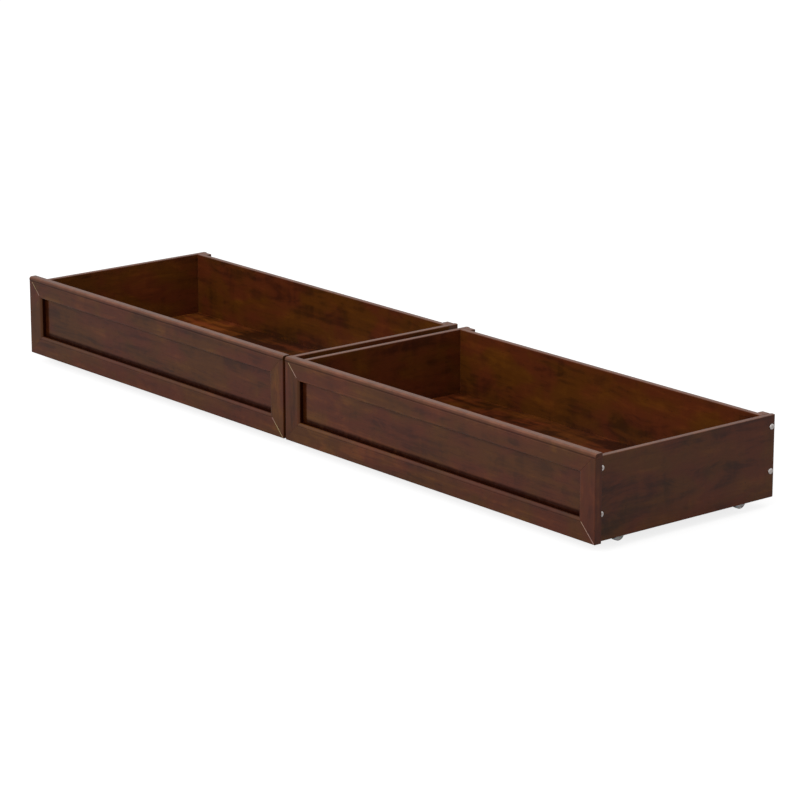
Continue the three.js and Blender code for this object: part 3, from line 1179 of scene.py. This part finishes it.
@dataclass
class FrontFrame:
    """Mitred frame and flat panel of one drawer's front."""

    drawer: str
    palette: Palette
    width: float = 45 * MM
    nosing: float = 6 * MM
    nosing_height: float = 11 * MM
    cove_start: float = 6.6 * MM
    cove_middle: float = 9.2 * MM
    cove_depth: float = 1.1 * MM
    edge: float = 1.5 * MM
    quirk: float = 0.6 * MM
    quirk_start: float = 37.2 * MM
    bead_start: float = 38.0 * MM
    bead_crest: float = 0.15 * MM
    bead: float = 5.5 * MM
    groove_front: float = 11.7 * MM
    groove_back: float = 16.3 * MM
    groove: float = 5.5 * MM
    arris: float = 0.6 * MM
    mitre_gap: float = 0.15 * MM
    mitre_arris: float = 0.12 * MM
    # Size of the pale strips of painted highlight in two mitres.
    filler_width: float = 1.3 * MM
    filler_depth: float = 1.5 * MM
    filler_play: float = 0.04 * MM
    quirk_lead: float = 0.6 * MM
    quirk_round: float = 0.3 * MM
    bead_round: float = 0.4 * MM
    # Lighter colour on rounds: a little on the bead and its crest, and a painted highlight on the nosing and
    # the top rail's back arris.
    bead_rubbed: float = 0.12
    crest_rubbed: float = 0.15
    nosing_rubbed: float = 0.25
    back_rubbed: float = 0.6
    cove_rounds: tuple[float, float, float] = (0.4 * MM, 1.2 * MM, 0.6 * MM)
    # Painted shade in the recesses: its darkness on the wall next to the panel, in the quirk and in the cove,
    # and how far past the wall and the quirk it reaches.
    wall_glaze: float = 1.0
    quirk_glaze: float = 0.55
    cove_glaze: float = 0.5
    glaze_margins: tuple[float, float] = (0.2 * MM, 0.1 * MM)
    # Painted shade on the panel along each edge, as reach and darkness: the broad left band paints the
    # reflection of the dark recess wall in the lacquer, the broad bottom band the shadow and reflection of
    # the bottom rail's ledge.
    panel_left: tuple[Spot, ...] = ((0.0, 0.8), (11 * MM, 0.62), (12.5 * MM, 0.0))
    panel_right: tuple[Spot, ...] = ((0.0, 0.7), (1.5 * MM, 0.3), (4 * MM, 0.0))
    panel_bottom: tuple[Spot, ...] = ((0.0, 1.0), (7 * MM, 0.85), (11 * MM, 0.0))
    panel_top: tuple[Spot, ...] = ((0.0, 0.9), (1.2 * MM, 0.5), (3 * MM, 0.0))
    over: float = 1 * MM
    saw: float = 5 * MM
    low: Vector = field(init=False)
    high: Vector = field(init=False)

    def __post_init__(self) -> None:
        """Find the front's own box from its nodes."""
        top_low, self.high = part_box(f"{self.drawer}_front_top_rail")
        self.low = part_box(f"{self.drawer}_front_bottom_rail")[0].copy()
        self.low.x = top_low.x

    @property
    def thickness(self) -> float:
        """Depth of the frame from face to back."""
        return self.high.y - self.low.y

    def inner_section(self, quirked: bool) -> list[Corner]:
        """Corners of the section next to the panel: quirk, bead, wall, panel groove and back.

        Args:
            quirked: Whether a quirk sets the bead off from the flat.

        Returns:
            The corners.
        """
        quirk = [
            Corner(self.quirk_start - self.quirk_lead, 0.0, self.quirk_round),
            Corner(self.quirk_start, self.quirk),
            Corner(self.bead_start, self.quirk),
            Corner(self.bead_start, self.bead_crest, self.bead_round, self.crest_rubbed),
            Corner(self.width, self.bead_crest, self.bead, self.bead_rubbed),
        ]
        return [
            *(quirk if quirked else [Corner(self.width, 0.0, self.bead)]),
            Corner(self.width, self.groove_front),
            Corner(self.width - self.groove, self.groove_front),
            Corner(self.width - self.groove, self.groove_back),
            Corner(self.width, self.groove_back),
            Corner(self.width, self.thickness, self.arris / 2),
        ]

    def plain_section(self, quirked: bool) -> list[Corner]:
        """Section of a stile, or of the bottom rail with its quirk.

        Args:
            quirked: Whether it has the quirk.

        Returns:
            The corners.
        """
        return [
            Corner(0.0, self.thickness, 1.5 * self.arris),
            Corner(0.0, 0.0, self.edge),
            *self.inner_section(quirked),
        ]

    def nosed_section(self) -> list[Corner]:
        """Section of the top rail: a nosing that runs into a shallow cove.

        Returns:
            The corners.
        """
        start, floor, end = self.cove_rounds
        return [
            Corner(0.0, self.thickness, 1.5 * self.arris, self.back_rubbed),
            Corner(0.0, 0.0, self.nosing, self.nosing_rubbed),
            Corner(self.cove_start, 0.0, start),
            Corner(self.cove_middle, self.cove_depth, floor),
            Corner(self.nosing_height, 0.0, end),
            *self.inner_section(False),
        ]

    def open_mitres(self, half: float) -> list[list[Spot]]:
        """Outlines along the two mitres that stand open, top left and bottom right, for the pale strips that
        paint the highlight on their arrises.

        Args:
            half: Half the outline's width.

        Returns:
            For each mitre, four corners as x and z.
        """
        step, reach = self.nosing_height, self.bead_start
        spans = (
            ((self.low.x + step, self.high.z - step), (self.low.x + reach, self.high.z - reach)),
            ((self.high.x - reach, self.low.z + reach), (self.high.x - self.edge, self.low.z + self.edge)),
        )
        slant = SLANT * half
        return [
            [
                (start[0] - slant, start[1] - slant), (end[0] - slant, end[1] - slant),
                (end[0] + slant, end[1] + slant), (start[0] + slant, start[1] + slant),
            ]
            for start, end in spans
        ]

    def finish_mitres(self, mesh: bmesh.types.BMesh) -> bmesh.types.BMesh:
        """Ease the arrises of the sawn mitres and open the kerfs that take the pale strips of painted
        highlight.

        Args:
            mesh: A trimmed frame member.

        Returns:
            The finished mesh.
        """
        mesh.normal_update()
        mitred = [
            f for f in mesh.faces
            if abs(abs(f.normal.x) - SLANT) < SLANT_PLAY and abs(f.normal.y) < SLANT_PLAY
        ]
        edges = {e for f in mitred for e in f.edges if e.calc_length() > 10 * self.mitre_arris}
        front = [e for e in edges if max(v.co.y for v in e.verts) < self.low.y + self.over]
        ease(mesh, front, self.mitre_arris, 2, 0.0)
        start = self.low.y - self.over
        kerfs = [
            prism([(x, start, z) for x, z in outline], (0.0, self.over + self.filler_depth, 0.0))
            for outline in self.open_mitres(self.filler_width / 2)
        ]
        return carve(mesh, kerfs, "DIFFERENCE")

    def glaze_recess(self, mesh: bmesh.types.BMesh, across: Callable[[Vector], float]) -> None:
        """Paint shade on the wall next to the panel, in the quirk and in the cove, where these recesses lie
        in shade.

        Args:
            mesh: A trimmed frame member.
            across: Gives a point's distance from the member's outer edge.
        """
        face = self.low.y
        wall_margin, quirk_margin = self.glaze_margins
        wall = [
            v for v in mesh.verts
            if across(v.co) > self.width - wall_margin and v.co.y > face + 0.8 * self.bead
        ]
        quirk = [
            v for v in mesh.verts
            if self.quirk_start - quirk_margin < across(v.co) < self.bead_start + quirk_margin
            and v.co.y > face + 0.5 * self.quirk
        ]
        cove = [
            v for v in mesh.verts
            if self.cove_start < across(v.co) < self.nosing_height
            and face + 0.25 * self.cove_depth < v.co.y < face + 1.5 * self.cove_depth
        ]
        for corners, depth in ((wall, self.wall_glaze), (quirk, self.quirk_glaze), (cove, self.cove_glaze)):
            glaze(mesh, corners, depth)

    def trim(
        self, mesh: bmesh.types.BMesh, outline: Sequence[Spot], across: Callable[[Vector], float],
    ) -> bmesh.types.BMesh:
        """Saw a bar to an outline in the plane of the front.

        Args:
            mesh: The bar.
            outline: Corners of what is kept, as x and z.
            across: Gives a point's distance from the member's outer edge.

        Returns:
            The trimmed mesh, its mitres eased and its recesses darkened with painted shade.
        """
        start = self.low.y - self.saw
        push = (0.0, self.thickness + 2 * self.saw, 0.0)
        cutter = prism([(x, start, z) for x, z in outline], push)
        member = self.finish_mitres(carve(mesh, [cutter], "INTERSECT"))
        # Painted shade in the recesses next to the panel.
        self.glaze_recess(member, across)
        return member

    def top_rail(self) -> bmesh.types.BMesh:
        """The top rail: its nosing runs over the stiles and the rest is mitred.

        Returns:
            Its mesh.
        """
        top, left, right = self.high.z, self.low.x, self.high.x
        bar = moulding(
            self.nosed_section(),
            lambda across, deep: (left, self.low.y + deep, top - across),
            (right - left, 0.0, 0.0),
        )
        nose = top - self.nosing_height
        for end in (left, right):
            rim = [e for e in sharp_edges(bar) if all(abs(v.co.x - end) < SAME_POINT for v in e.verts)]
            ease(bar, [e for e in rim if max(v.co.z for v in e.verts) > nose], self.arris, 3)
        run = self.width - self.nosing_height + self.over
        start = self.nosing_height + self.mitre_gap
        over = self.over
        outline = [
            (left - over, top + over), (right + over, top + over), (right + over, nose),
            (right - start, nose), (right - start - run, nose - run),
            (left + start + run, nose - run), (left + start, nose), (left - over, nose),
        ]
        rail = self.trim(bar, outline, lambda point: top - point.z)
        # Painted highlight on the nosing's upward faces, lighter the flatter they lie.
        rub_rims(rail, nose)
        return rail

    def bottom_rail(self) -> bmesh.types.BMesh:
        """The bottom rail, mitred at both ends.

        Returns:
            Its mesh.
        """
        low, left, right = self.low.z, self.low.x, self.high.x
        bar = moulding(
            self.plain_section(True),
            lambda across, deep: (left, self.low.y + deep, low + across),
            (right - left, 0.0, 0.0),
        )
        over = self.over
        run = self.width + 2 * over
        start = self.mitre_gap - over
        outline = [
            (left + start, low - over), (right - start, low - over),
            (right - start - run, low - over + run), (left + start + run, low - over + run),
        ]
        return self.trim(bar, outline, lambda point: point.z - low)

    def stile(self, hand: Hand) -> bmesh.types.BMesh:
        """A stile, mitred at the bottom and stepped under the nosing at the top.

        Args:
            hand: Which stile.

        Returns:
            Its mesh.
        """
        low, top = self.low.z, self.high.z
        outer = self.low.x if hand is Hand.LEFT else self.high.x
        inward = -hand.value
        bar = moulding(
            self.plain_section(False),
            lambda across, deep: (outer + inward * across, self.low.y + deep, low),
            (0.0, 0.0, top - low),
        )
        over = self.over
        nose = top - self.nosing_height - 2 * self.mitre_gap
        reach = self.width + over
        step = self.nosing_height
        outline = [
            (-over, low - over - self.mitre_gap), (reach, low + reach + self.mitre_gap),
            (reach, nose - (reach - step)), (step, nose), (-over, nose),
        ]
        placed = [(outer + inward * x, z) for x, z in outline]
        return self.trim(bar, placed, lambda point: inward * (point.x - outer))

    def panel(self) -> bmesh.types.BMesh:
        """The flat panel, with painted shade along its edges, broader and darker along the left and bottom
        edges than the others.

        Returns:
            Its mesh.
        """
        low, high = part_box(f"{self.drawer}_front_panel")
        mesh = block(low, high)
        hidden = low.x - self.low.x
        left, right = low.x + self.width - hidden, high.x - self.width + hidden
        bottom, top = self.low.z + self.width, self.high.z - self.width
        edges = {
            (1, 0, 0): (left, self.panel_left),
            (-1, 0, 0): (right, self.panel_right),
            (0, 0, 1): (bottom, self.panel_bottom),
            (0, 0, -1): (top, self.panel_top),
        }
        for way, (start, steps) in edges.items():
            for reach, _ in steps:
                at = Vector(way) * reach + Vector((abs(way[0]), 0, abs(way[2]))) * start
                parts = [*mesh.verts, *mesh.edges, *mesh.faces]
                bmesh.ops.bisect_plane(mesh, geom=parts, dist=0.1 * SAME_POINT, plane_co=at, plane_no=way)
        # Each corner takes the painted shade of the darkest band it lies in.
        layer = mesh.verts.layers.float[PAINTED_SHADE]
        for vert in mesh.verts:
            depth = 0.0
            for way, (start, steps) in edges.items():
                reach = (vert.co.x * way[0] + vert.co.z * way[2]) - start * (way[0] + way[2])
                nearest = [amount for step, amount in steps if reach < step + 10 * SAME_POINT]
                depth = max(depth, nearest[0] if nearest else 0.0)
            vert[layer] = depth
        return mesh

    def fillers(self) -> bmesh.types.BMesh:
        """Pale strips in the two open mitres: a painted highlight along their arrises.

        Returns:
            Its mesh.
        """
        start = self.low.y + self.filler_play
        push = (0.0, self.filler_depth - 2 * self.filler_play, 0.0)
        outlines = self.open_mitres(self.filler_width / 2 - self.filler_play)
        return joined([prism([(x, start, z) for x, z in outline], push) for outline in outlines])

    def build(self) -> None:
        """Make the four frame members and the panel."""
        members = {
            "front_top_rail": (self.top_rail(), Grain.ALONG_X),
            "front_bottom_rail": (self.bottom_rail(), Grain.ALONG_X),
            "front_left_stile": (self.stile(Hand.LEFT), Grain.ALONG_Z),
            "front_right_stile": (self.stile(Hand.RIGHT), Grain.ALONG_Z),
            "front_panel": (self.panel(), Grain.ALONG_X),
        }
        for part, (mesh, grain) in members.items():
            node = f"{self.drawer}_{part}"
            material = self.palette.wood(FRONT_WOOD, grain)
            Piece(f"{node}_finished", self.drawer, FRONT_WOOD.slot, material, (node,)).publish(mesh)
        # Pale strips of painted highlight in the top-left and bottom-right mitres.
        highlight_wood = self.palette.wood(MITRE_HIGHLIGHT, Grain.ALONG_X)
        name = f"{self.drawer}_front_mitre_filler"
        Piece(name, self.drawer, MITRE_HIGHLIGHT.slot, highlight_wood).publish(self.fillers())


# ---------------------------------------------------------------- case


@dataclass
class Case:
    """Side boards, back board, cleats and bottom of one drawer."""

    drawer: str
    palette: Palette
    arris: float = 1.4 * MM
    rear_round: float = 4 * MM
    cleat_arris: float = 1.0 * MM

    def board(self, part: str, grain: Grain, arris: float, steps: int, round_rear: bool = False) -> None:
        """A board or cleat with eased edges, in place of its node.

        Args:
            part: What the node's name says after the drawer's.
            grain: Direction of its grain.
            arris: Radius of its edges.
            steps: Faces across the round of an edge.
            round_rear: Whether its upright rear edges are rounder.
        """
        node = f"{self.drawer}_{part}"
        low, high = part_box(node)
        mesh = block(low, high)
        if round_rear:
            rear = [e for e in mesh.edges if all(abs(v.co.y - high.y) < SAME_POINT for v in e.verts)]
            upright = [e for e in rear if abs(e.verts[0].co.z - e.verts[1].co.z) > MM]
            ease(mesh, upright, self.rear_round, 6)
        ease(mesh, sharp_edges(mesh), arris, steps)
        # Painted highlight on the upward faces along the board's top edge.
        rub_rims(mesh, high.z - 2 * arris)
        material = self.palette.wood(CASE_WOOD, grain)
        Piece(f"{node}_board", self.drawer, CASE_WOOD.slot, material, (node,)).publish(mesh)

    def support(self) -> None:
        """The batten under the bottom board."""
        node = f"{self.drawer}_centre_support"
        mesh = block(*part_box(node))
        ease(mesh, sharp_edges(mesh), self.cleat_arris, 3)
        material = self.palette.wood(BOTTOM_WOOD, Grain.ALONG_Y)
        Piece(f"{node}_batten", self.drawer, BOTTOM_WOOD.slot, material, (node,)).publish(mesh)

    def build(self) -> None:
        """Make the boards of the case."""
        for hand in Hand:
            self.board(f"{hand.word}_side", Grain.ALONG_Y, self.arris, 4, True)
            for end in End:
                self.board(f"{end.value}_{hand.word}_cleat", Grain.ALONG_Z, self.cleat_arris, 3)
        self.board("back_board", Grain.ALONG_X, self.arris, 4)
        material = self.palette.wood(BOTTOM_WOOD, Grain.ALONG_X)
        dress_node(f"{self.drawer}_bottom_board", material)
        self.support()


# ---------------------------------------------------------------- hardware


@dataclass(frozen=True)
class Post:
    """One corner of one drawer, where a cleat, two bolts and a caster sit."""

    drawer: str
    end: End
    hand: Hand

    def node(self, part: str) -> str:
        """Name of a node at this corner."""
        return f"{self.drawer}_{self.end.value}_{self.hand.word}_{part}"

    def bolts(self) -> list[str]:
        """Names of its bolts, the lower one first."""
        return [self.node(f"{level.value}_bolt") for level in Level]

    @property
    def mirrored(self) -> bool:
        """Whether what is made for a right corner is turned over here."""
        return self.hand is Hand.LEFT


POSTS = [Post(drawer, end, hand) for drawer in DRAWERS for end in End for hand in Hand]


@dataclass
class CornerBolts:
    """The sixteen round-headed bolts with hexagonal sockets."""

    palette: Palette
    head_radius: float = 5.9 * MM
    head_height: float = 2.2 * MM
    rim_height: float = 0.5 * MM
    shank_radius: float = 2.9 * MM
    tip_chamfer: float = 0.8 * MM
    socket_radius: float = 2.2 * MM
    socket_depth: float = 2.4 * MM
    socket_rim: float = 0.5 * MM
    seat_chamfer: Spot = (0.2 * MM, 0.3 * MM)
    dome_steps: int = 8
    segments: int = 40

    def pattern(self, length: float) -> bmesh.types.BMesh:
        """A bolt whose crown touches x = 0 and whose shank points to -X.

        Args:
            length: Whole length of the bolt.

        Returns:
            Its mesh.
        """
        flat = self.socket_radius + self.socket_rim
        rise = self.head_height - self.rim_height
        up, inward = self.seat_chamfer
        profile = [
            (-length, 0.0), (-length, self.shank_radius - self.tip_chamfer),
            (self.tip_chamfer - length, self.shank_radius), (-self.head_height, self.shank_radius),
            (-self.head_height, self.head_radius - inward), (-self.head_height + up, self.head_radius),
            *dome(-rise, rise, flat, self.head_radius, self.dome_steps), (0.0, 0.0),
        ]
        bolt = turned(profile, self.segments)
        socket = rod(self.socket_radius, (-self.socket_depth, 0, 0), (1 * MM, 0, 0), 6)
        return carve(bolt, [socket], "DIFFERENCE")

    def build(self) -> None:
        """Put a bolt in place of each bolt node."""
        low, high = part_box(POSTS[0].bolts()[0])
        pattern = self.pattern(high.x - low.x)
        material = self.palette.other(NICKEL)
        for post in POSTS:
            for node in post.bolts():
                low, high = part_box(node)
                crown = middle(low, high)
                crown.x = low.x if post.mirrored else high.x
                mesh = moved(pattern, crown, post.mirrored)
                Piece(f"{node}_turned", post.drawer, NICKEL.slot, material, (node,)).publish(mesh)


@dataclass
class ThreadedInserts:
    """The flanged inserts in the cleats that the bolts screw into."""

    palette: Palette
    bore: float = 3.05 * MM
    sleeve: float = 4.4 * MM
    flange: float = 5.8 * MM
    flange_height: float = 0.5 * MM
    chamfer: float = 0.2 * MM
    depth: float = 11 * MM
    segments: int = 36

    def pattern(self) -> bmesh.types.BMesh:
        """An insert whose flange lies on x = 0 and whose sleeve points to +X.

        Returns:
            Its mesh.
        """
        profile = [
            (-self.flange_height, self.bore), (-self.flange_height, self.flange - self.chamfer),
            (-self.flange_height + self.chamfer, self.flange), (0.0, self.flange), (0.0, self.sleeve),
            (self.depth, self.sleeve), (self.depth, self.bore), (-self.flange_height, self.bore),
        ]
        return turned(profile, self.segments)

    def build(self) -> None:
        """Put an insert round each bolt's tip."""
        pattern = self.pattern()
        material = self.palette.other(ZINC)
        for post in POSTS:
            low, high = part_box(post.node("cleat"))
            for bolt in post.bolts():
                seat = middle(*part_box(bolt))
                seat.x = high.x if post.mirrored else low.x
                mesh = moved(pattern, seat, post.mirrored)
                Piece(f"{bolt}_insert", post.drawer, ZINC.slot, material).publish(mesh)


@dataclass(frozen=True)
class PanHeads:
    """Pan-headed screws with cross slots, seen from below. Shares are of the head's radius or height."""

    radius: float
    height: float
    crown: float = 0.45
    slot_reach: float = 0.5
    slot_width: float = 0.16
    slot_floor: float = 0.4
    steps: int = 6
    segments: int = 28

    def build(self, spots: Sequence[Point]) -> bmesh.types.BMesh:
        """One mesh of the heads.

        Args:
            spots: Middle of each head's seat.

        Returns:
            The mesh.
        """
        round_part = dome(0.0, self.height, self.crown * self.radius, self.radius, self.steps)
        pattern = turned([(0.0, 0.0), *round_part, (self.height, 0.0)], self.segments)
        arm, slot = self.slot_reach * self.radius, self.slot_width * self.radius
        floor, top = self.slot_floor * self.height, 2 * self.height
        slots = [block((floor, -y, -z), (top, y, z)) for y, z in ((arm, slot), (slot, arm))]
        pattern = carve(pattern, slots, "DIFFERENCE")
        down = Vector((1, 0, 0)).rotation_difference(Vector((0, 0, -1))).to_matrix()
        bmesh.ops.rotate(pattern, cent=ORIGIN, matrix=down, verts=pattern.verts)
        heads = joined([moved(pattern, spot) for spot in spots])
        pattern.free()
        return heads


@dataclass
class Casters:
    """The eight fixed casters: pressed housing, riveted axle, screws and wheel."""

    palette: Palette
    sheet: float = 2 * MM
    plate_corner: float = 5 * MM
    cheek_gap: float = 15 * MM
    cheek_length: float = 22 * MM
    cheek_end: float = 5 * MM
    axle_radius: float = 2.5 * MM
    rivet_radius: float = 3.6 * MM
    rivet_height: float = 1.1 * MM
    rivet_sunk: float = 0.2 * MM
    rivet_steps: int = 5
    rivet_segments: int = 28
    cheek_arc: tuple[int, int, int] = (200, 340, 12)
    edge: float = 0.35 * MM
    screw_radius: float = 2.9 * MM
    screw_height: float = 1.3 * MM
    screw_margin: float = 2.3 / 1.5
    hub_radius: float = 5.5 * MM
    rim_width: float = 3.2 * MM
    dish: float = 2 * MM
    tread_round: float = 1.3 * MM
    axle_play: float = 0.35 * MM
    hub_chamfer: float = 0.4 * MM
    hub_draft: float = 0.3 * MM
    rim_draft: float = 0.6 * MM
    pocket_ring: float = 8.1 * MM
    pocket_radius: float = 1.5 * MM
    pocket_depth: float = 1.6 * MM
    pockets: int = 5
    segments: int = 56

    def housing(self, size: Vector, axle: float) -> bmesh.types.BMesh:
        """A housing with the middle of its plate's top at the origin.

        Args:
            size: Size of the housing's box.
            axle: Height of the axle under the plate's top.

        Returns:
            Its mesh.
        """
        half_x, half_y = size.x / 2, size.y / 2
        plate = block((-half_x, -half_y, -self.sheet), (half_x, half_y, 0.0))
        upright = [e for e in plate.edges if abs(e.verts[0].co.z - e.verts[1].co.z) > self.sheet / 2]
        ease(plate, upright, self.plate_corner, 6, 0.0)
        half = self.cheek_length / 2
        outline = [
            (-half, -self.sheet / 2),
            *arc((0.0, -axle), self.cheek_end, *self.cheek_arc),
            (half, -self.sheet / 2),
        ]
        cheeks = []
        for start in (-self.cheek_gap / 2 - self.sheet, self.cheek_gap / 2):
            cheek = prism([(start, y, z) for y, z in outline], (self.sheet, 0.0, 0.0))
            ease(cheek, sharp_edges(cheek), self.edge, 2)
            cheeks.append(cheek)
        reach = self.cheek_gap / 2 + self.sheet
        head = dome(reach, self.rivet_height, 0.0, self.rivet_radius, self.rivet_steps)
        neck = [(reach - self.rivet_sunk, self.axle_radius), (reach - self.rivet_sunk, self.rivet_radius)]
        side = [*neck, *head]
        profile = [*((-along, radius) for along, radius in reversed(side)), *side]
        rivet = turned(profile, self.rivet_segments, (0.0, 0.0, -axle))
        return carve(plate, [*cheeks, rivet], "UNION")

    def screws(self, size: Vector) -> bmesh.types.BMesh:
        """Four pan-headed screws under the corners of a plate.

        Args:
            size: Size of the housing's box.

        Returns:
            Their mesh.
        """
        inset = self.screw_margin * self.screw_radius
        far_x, far_y = size.x / 2 - inset, size.y / 2 - inset
        spots = [(x * far_x, y * far_y, -self.sheet) for x in (-1, 1) for y in (-1, 1)]
        return PanHeads(self.screw_radius, self.screw_height).build(spots)

    def wheel(self, width: float, radius: float) -> bmesh.types.BMesh:
        """A dished wheel with pockets round its hub, centred on the origin.

        Args:
            width: Width across the faces.
            radius: Radius of the tread.

        Returns:
            Its mesh.
        """
        half = width / 2
        bore = self.axle_radius + self.axle_play
        rim = radius - self.rim_width
        tread = arc((half - self.tread_round, radius - self.tread_round), self.tread_round, 0, 90, 5)
        side = [
            (half, bore), (half, self.hub_radius - self.hub_chamfer),
            (half - self.hub_chamfer, self.hub_radius),
            (half - self.dish, self.hub_radius + self.hub_draft), (half - self.dish, rim - self.rim_draft),
            (half, rim), *tread,
        ]
        profile = [*((-along, r) for along, r in side), *reversed(side), (-half, bore)]
        wheel = turned(profile, self.segments)
        floor = half - self.dish
        tools = []
        for i in range(self.pockets):
            turn = 2 * math.pi * i / self.pockets
            y, z = self.pocket_ring * math.cos(turn), self.pocket_ring * math.sin(turn)
            for face in (-1, 1):
                ends = sorted((face * (floor - self.pocket_depth), face * (half + 1 * MM)))
                tools.append(rod(self.pocket_radius, (ends[0], y, z), (ends[1], y, z), 20))
        return carve(wheel, tools, "DIFFERENCE")

    def build(self) -> None:
        """Put a housing, its screws and a wheel in place of each caster's nodes."""
        low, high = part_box(POSTS[0].node("caster_bracket"))
        wheel_low, wheel_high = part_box(POSTS[0].node("wheel"))
        hub = middle(wheel_low, wheel_high)
        housing = self.housing(high - low, high.z - hub.z)
        screws = self.screws(high - low)
        wheel = self.wheel(wheel_high.x - wheel_low.x, hub.z)
        zinc, nylon = self.palette.other(ZINC), self.palette.other(NYLON)
        for post in POSTS:
            node, roller = post.node("caster_bracket"), post.node("wheel")
            low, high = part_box(node)
            top = middle(low, high)
            top.z = high.z
            hub = middle(*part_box(roller))
            Piece(f"{node}_pressed", post.drawer, ZINC.slot, zinc, (node,)).publish(moved(housing, top))
            Piece(f"{node}_screws", post.drawer, ZINC.slot, zinc).publish(moved(screws, top))
            Piece(f"{roller}_moulded", roller, NYLON.slot, nylon, (roller,)).publish(moved(wheel, hub))


@dataclass
class BattenScrews:
    """Screws that hold the batten under one drawer's bottom."""

    drawer: str
    palette: Palette
    radius: float = 3.6 * MM
    height: float = 1.5 * MM
    rows: int = 4
    end_margin: float = 40 * MM

    def build(self) -> None:
        """Put a row of screws along the batten."""
        node = f"{self.drawer}_centre_support"
        low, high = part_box(node)
        span = high.y - low.y - 2 * self.end_margin
        spots = [
            ((low.x + high.x) / 2, low.y + self.end_margin + span * i / (self.rows - 1), low.z)
            for i in range(self.rows)
        ]
        mesh = PanHeads(self.radius, self.height).build(spots)
        Piece(f"{node}_screws", self.drawer, ZINC.slot, self.palette.other(ZINC)).publish(mesh)


# ---------------------------------------------------------------- stage


@dataclass
class Studio:
    """Floor, light and camera."""

    azimuth: float = 50.46
    elevation: float = 15.15
    distance: float = 7.150
    lens: float = 151.55
    aim: Point = (0.0407, 0.0347, 0.0647)
    floor_glow: float = 0.8
    floor_tone: float = 0.5
    surroundings: float = 0.52
    floor_radius: float = 60.0
    sensor: float = 36.0
    key_place: Point = (0.6, -4.6, 2.6)
    key_size: float = 3.0
    key_power: float = 115.0

    def floor(self) -> None:
        """A wide pale floor."""
        mesh = bmesh.new()
        bmesh.ops.create_circle(mesh, cap_ends=True, segments=96, radius=self.floor_radius)
        floor = as_object(mesh, "floor")
        sheet = MaterialSheet("pale_floor")
        rays = sheet.node("ShaderNodeLightPath")
        glow = sheet.node("ShaderNodeMath")
        glow.operation = "MULTIPLY"
        sheet.feed(rays.outputs["Is Camera Ray"], glow.inputs[0])
        sheet.feed(self.floor_glow, glow.inputs[1])
        sheet.set(
            Base_Color=(self.floor_tone,) * 3, Roughness=0.9, Specular_IOR_Level=0.0,
            Emission_Color=(1.0, 1.0, 1.0), Emission_Strength=glow.outputs[0],
        )
        floor.data.materials.append(sheet.material)

    def world(self) -> None:
        """Even white surroundings."""
        world = bpy.data.worlds.new("studio")
        world.use_nodes = True
        tree = world.node_tree
        lit = tree.nodes["Background"]
        lit.inputs["Strength"].default_value = self.surroundings
        seen = tree.nodes.new("ShaderNodeBackground")
        for background in (lit, seen):
            background.inputs["Color"].default_value = (1.0, 1.0, 1.0, 1.0)
        rays = tree.nodes.new("ShaderNodeLightPath")
        mix = tree.nodes.new("ShaderNodeMixShader")
        tree.links.new(rays.outputs["Is Camera Ray"], mix.inputs["Fac"])
        tree.links.new(lit.outputs[0], mix.inputs[1])
        tree.links.new(seen.outputs[0], mix.inputs[2])
        tree.links.new(mix.outputs[0], tree.nodes["World Output"].inputs["Surface"])
        bpy.context.scene.world = world

    def lamp(self) -> None:
        """The key light: a soft square that faces the object."""
        data = bpy.data.lights.new("key", "AREA")
        data.size = self.key_size
        data.energy = self.key_power
        lamp = bpy.data.objects.new("key", data)
        lamp.location = self.key_place
        lamp.rotation_euler = (-Vector(self.key_place)).to_track_quat("-Z", "Y").to_euler()
        bpy.context.collection.objects.link(lamp)

    def camera(self) -> None:
        """The camera, at the object's usual three-quarter view."""
        data = bpy.data.cameras.new("camera")
        data.lens = self.lens
        data.sensor_width = self.sensor
        camera = bpy.data.objects.new("camera", data)
        turn, rise = math.radians(self.azimuth), math.radians(self.elevation)
        back = Vector((math.sin(turn) * math.cos(rise), -math.cos(turn) * math.cos(rise), math.sin(rise)))
        camera.location = Vector(self.aim) + back * self.distance
        camera.rotation_euler = (-back).to_track_quat("-Z", "Y").to_euler()
        bpy.context.collection.objects.link(camera)
        bpy.context.scene.camera = camera

    def build(self) -> None:
        """Set up the whole studio."""
        bpy.context.scene.view_settings.view_transform = "Standard"
        self.floor()
        self.world()
        self.lamp()
        self.camera()


def main() -> None:
    """Build every sub-assembly in order."""
    logging.basicConfig(level=logging.INFO, format="%(name)s %(message)s")
    Studio().build()
    palette = Palette()
    for drawer in DRAWERS:
        FrontFrame(drawer, palette).build()
        Case(drawer, palette).build()
        BattenScrews(drawer, palette).build()
    CornerBolts(palette).build()
    ThreadedInserts(palette).build()
    Casters(palette).build()


if __name__ == "__main__":
    main()
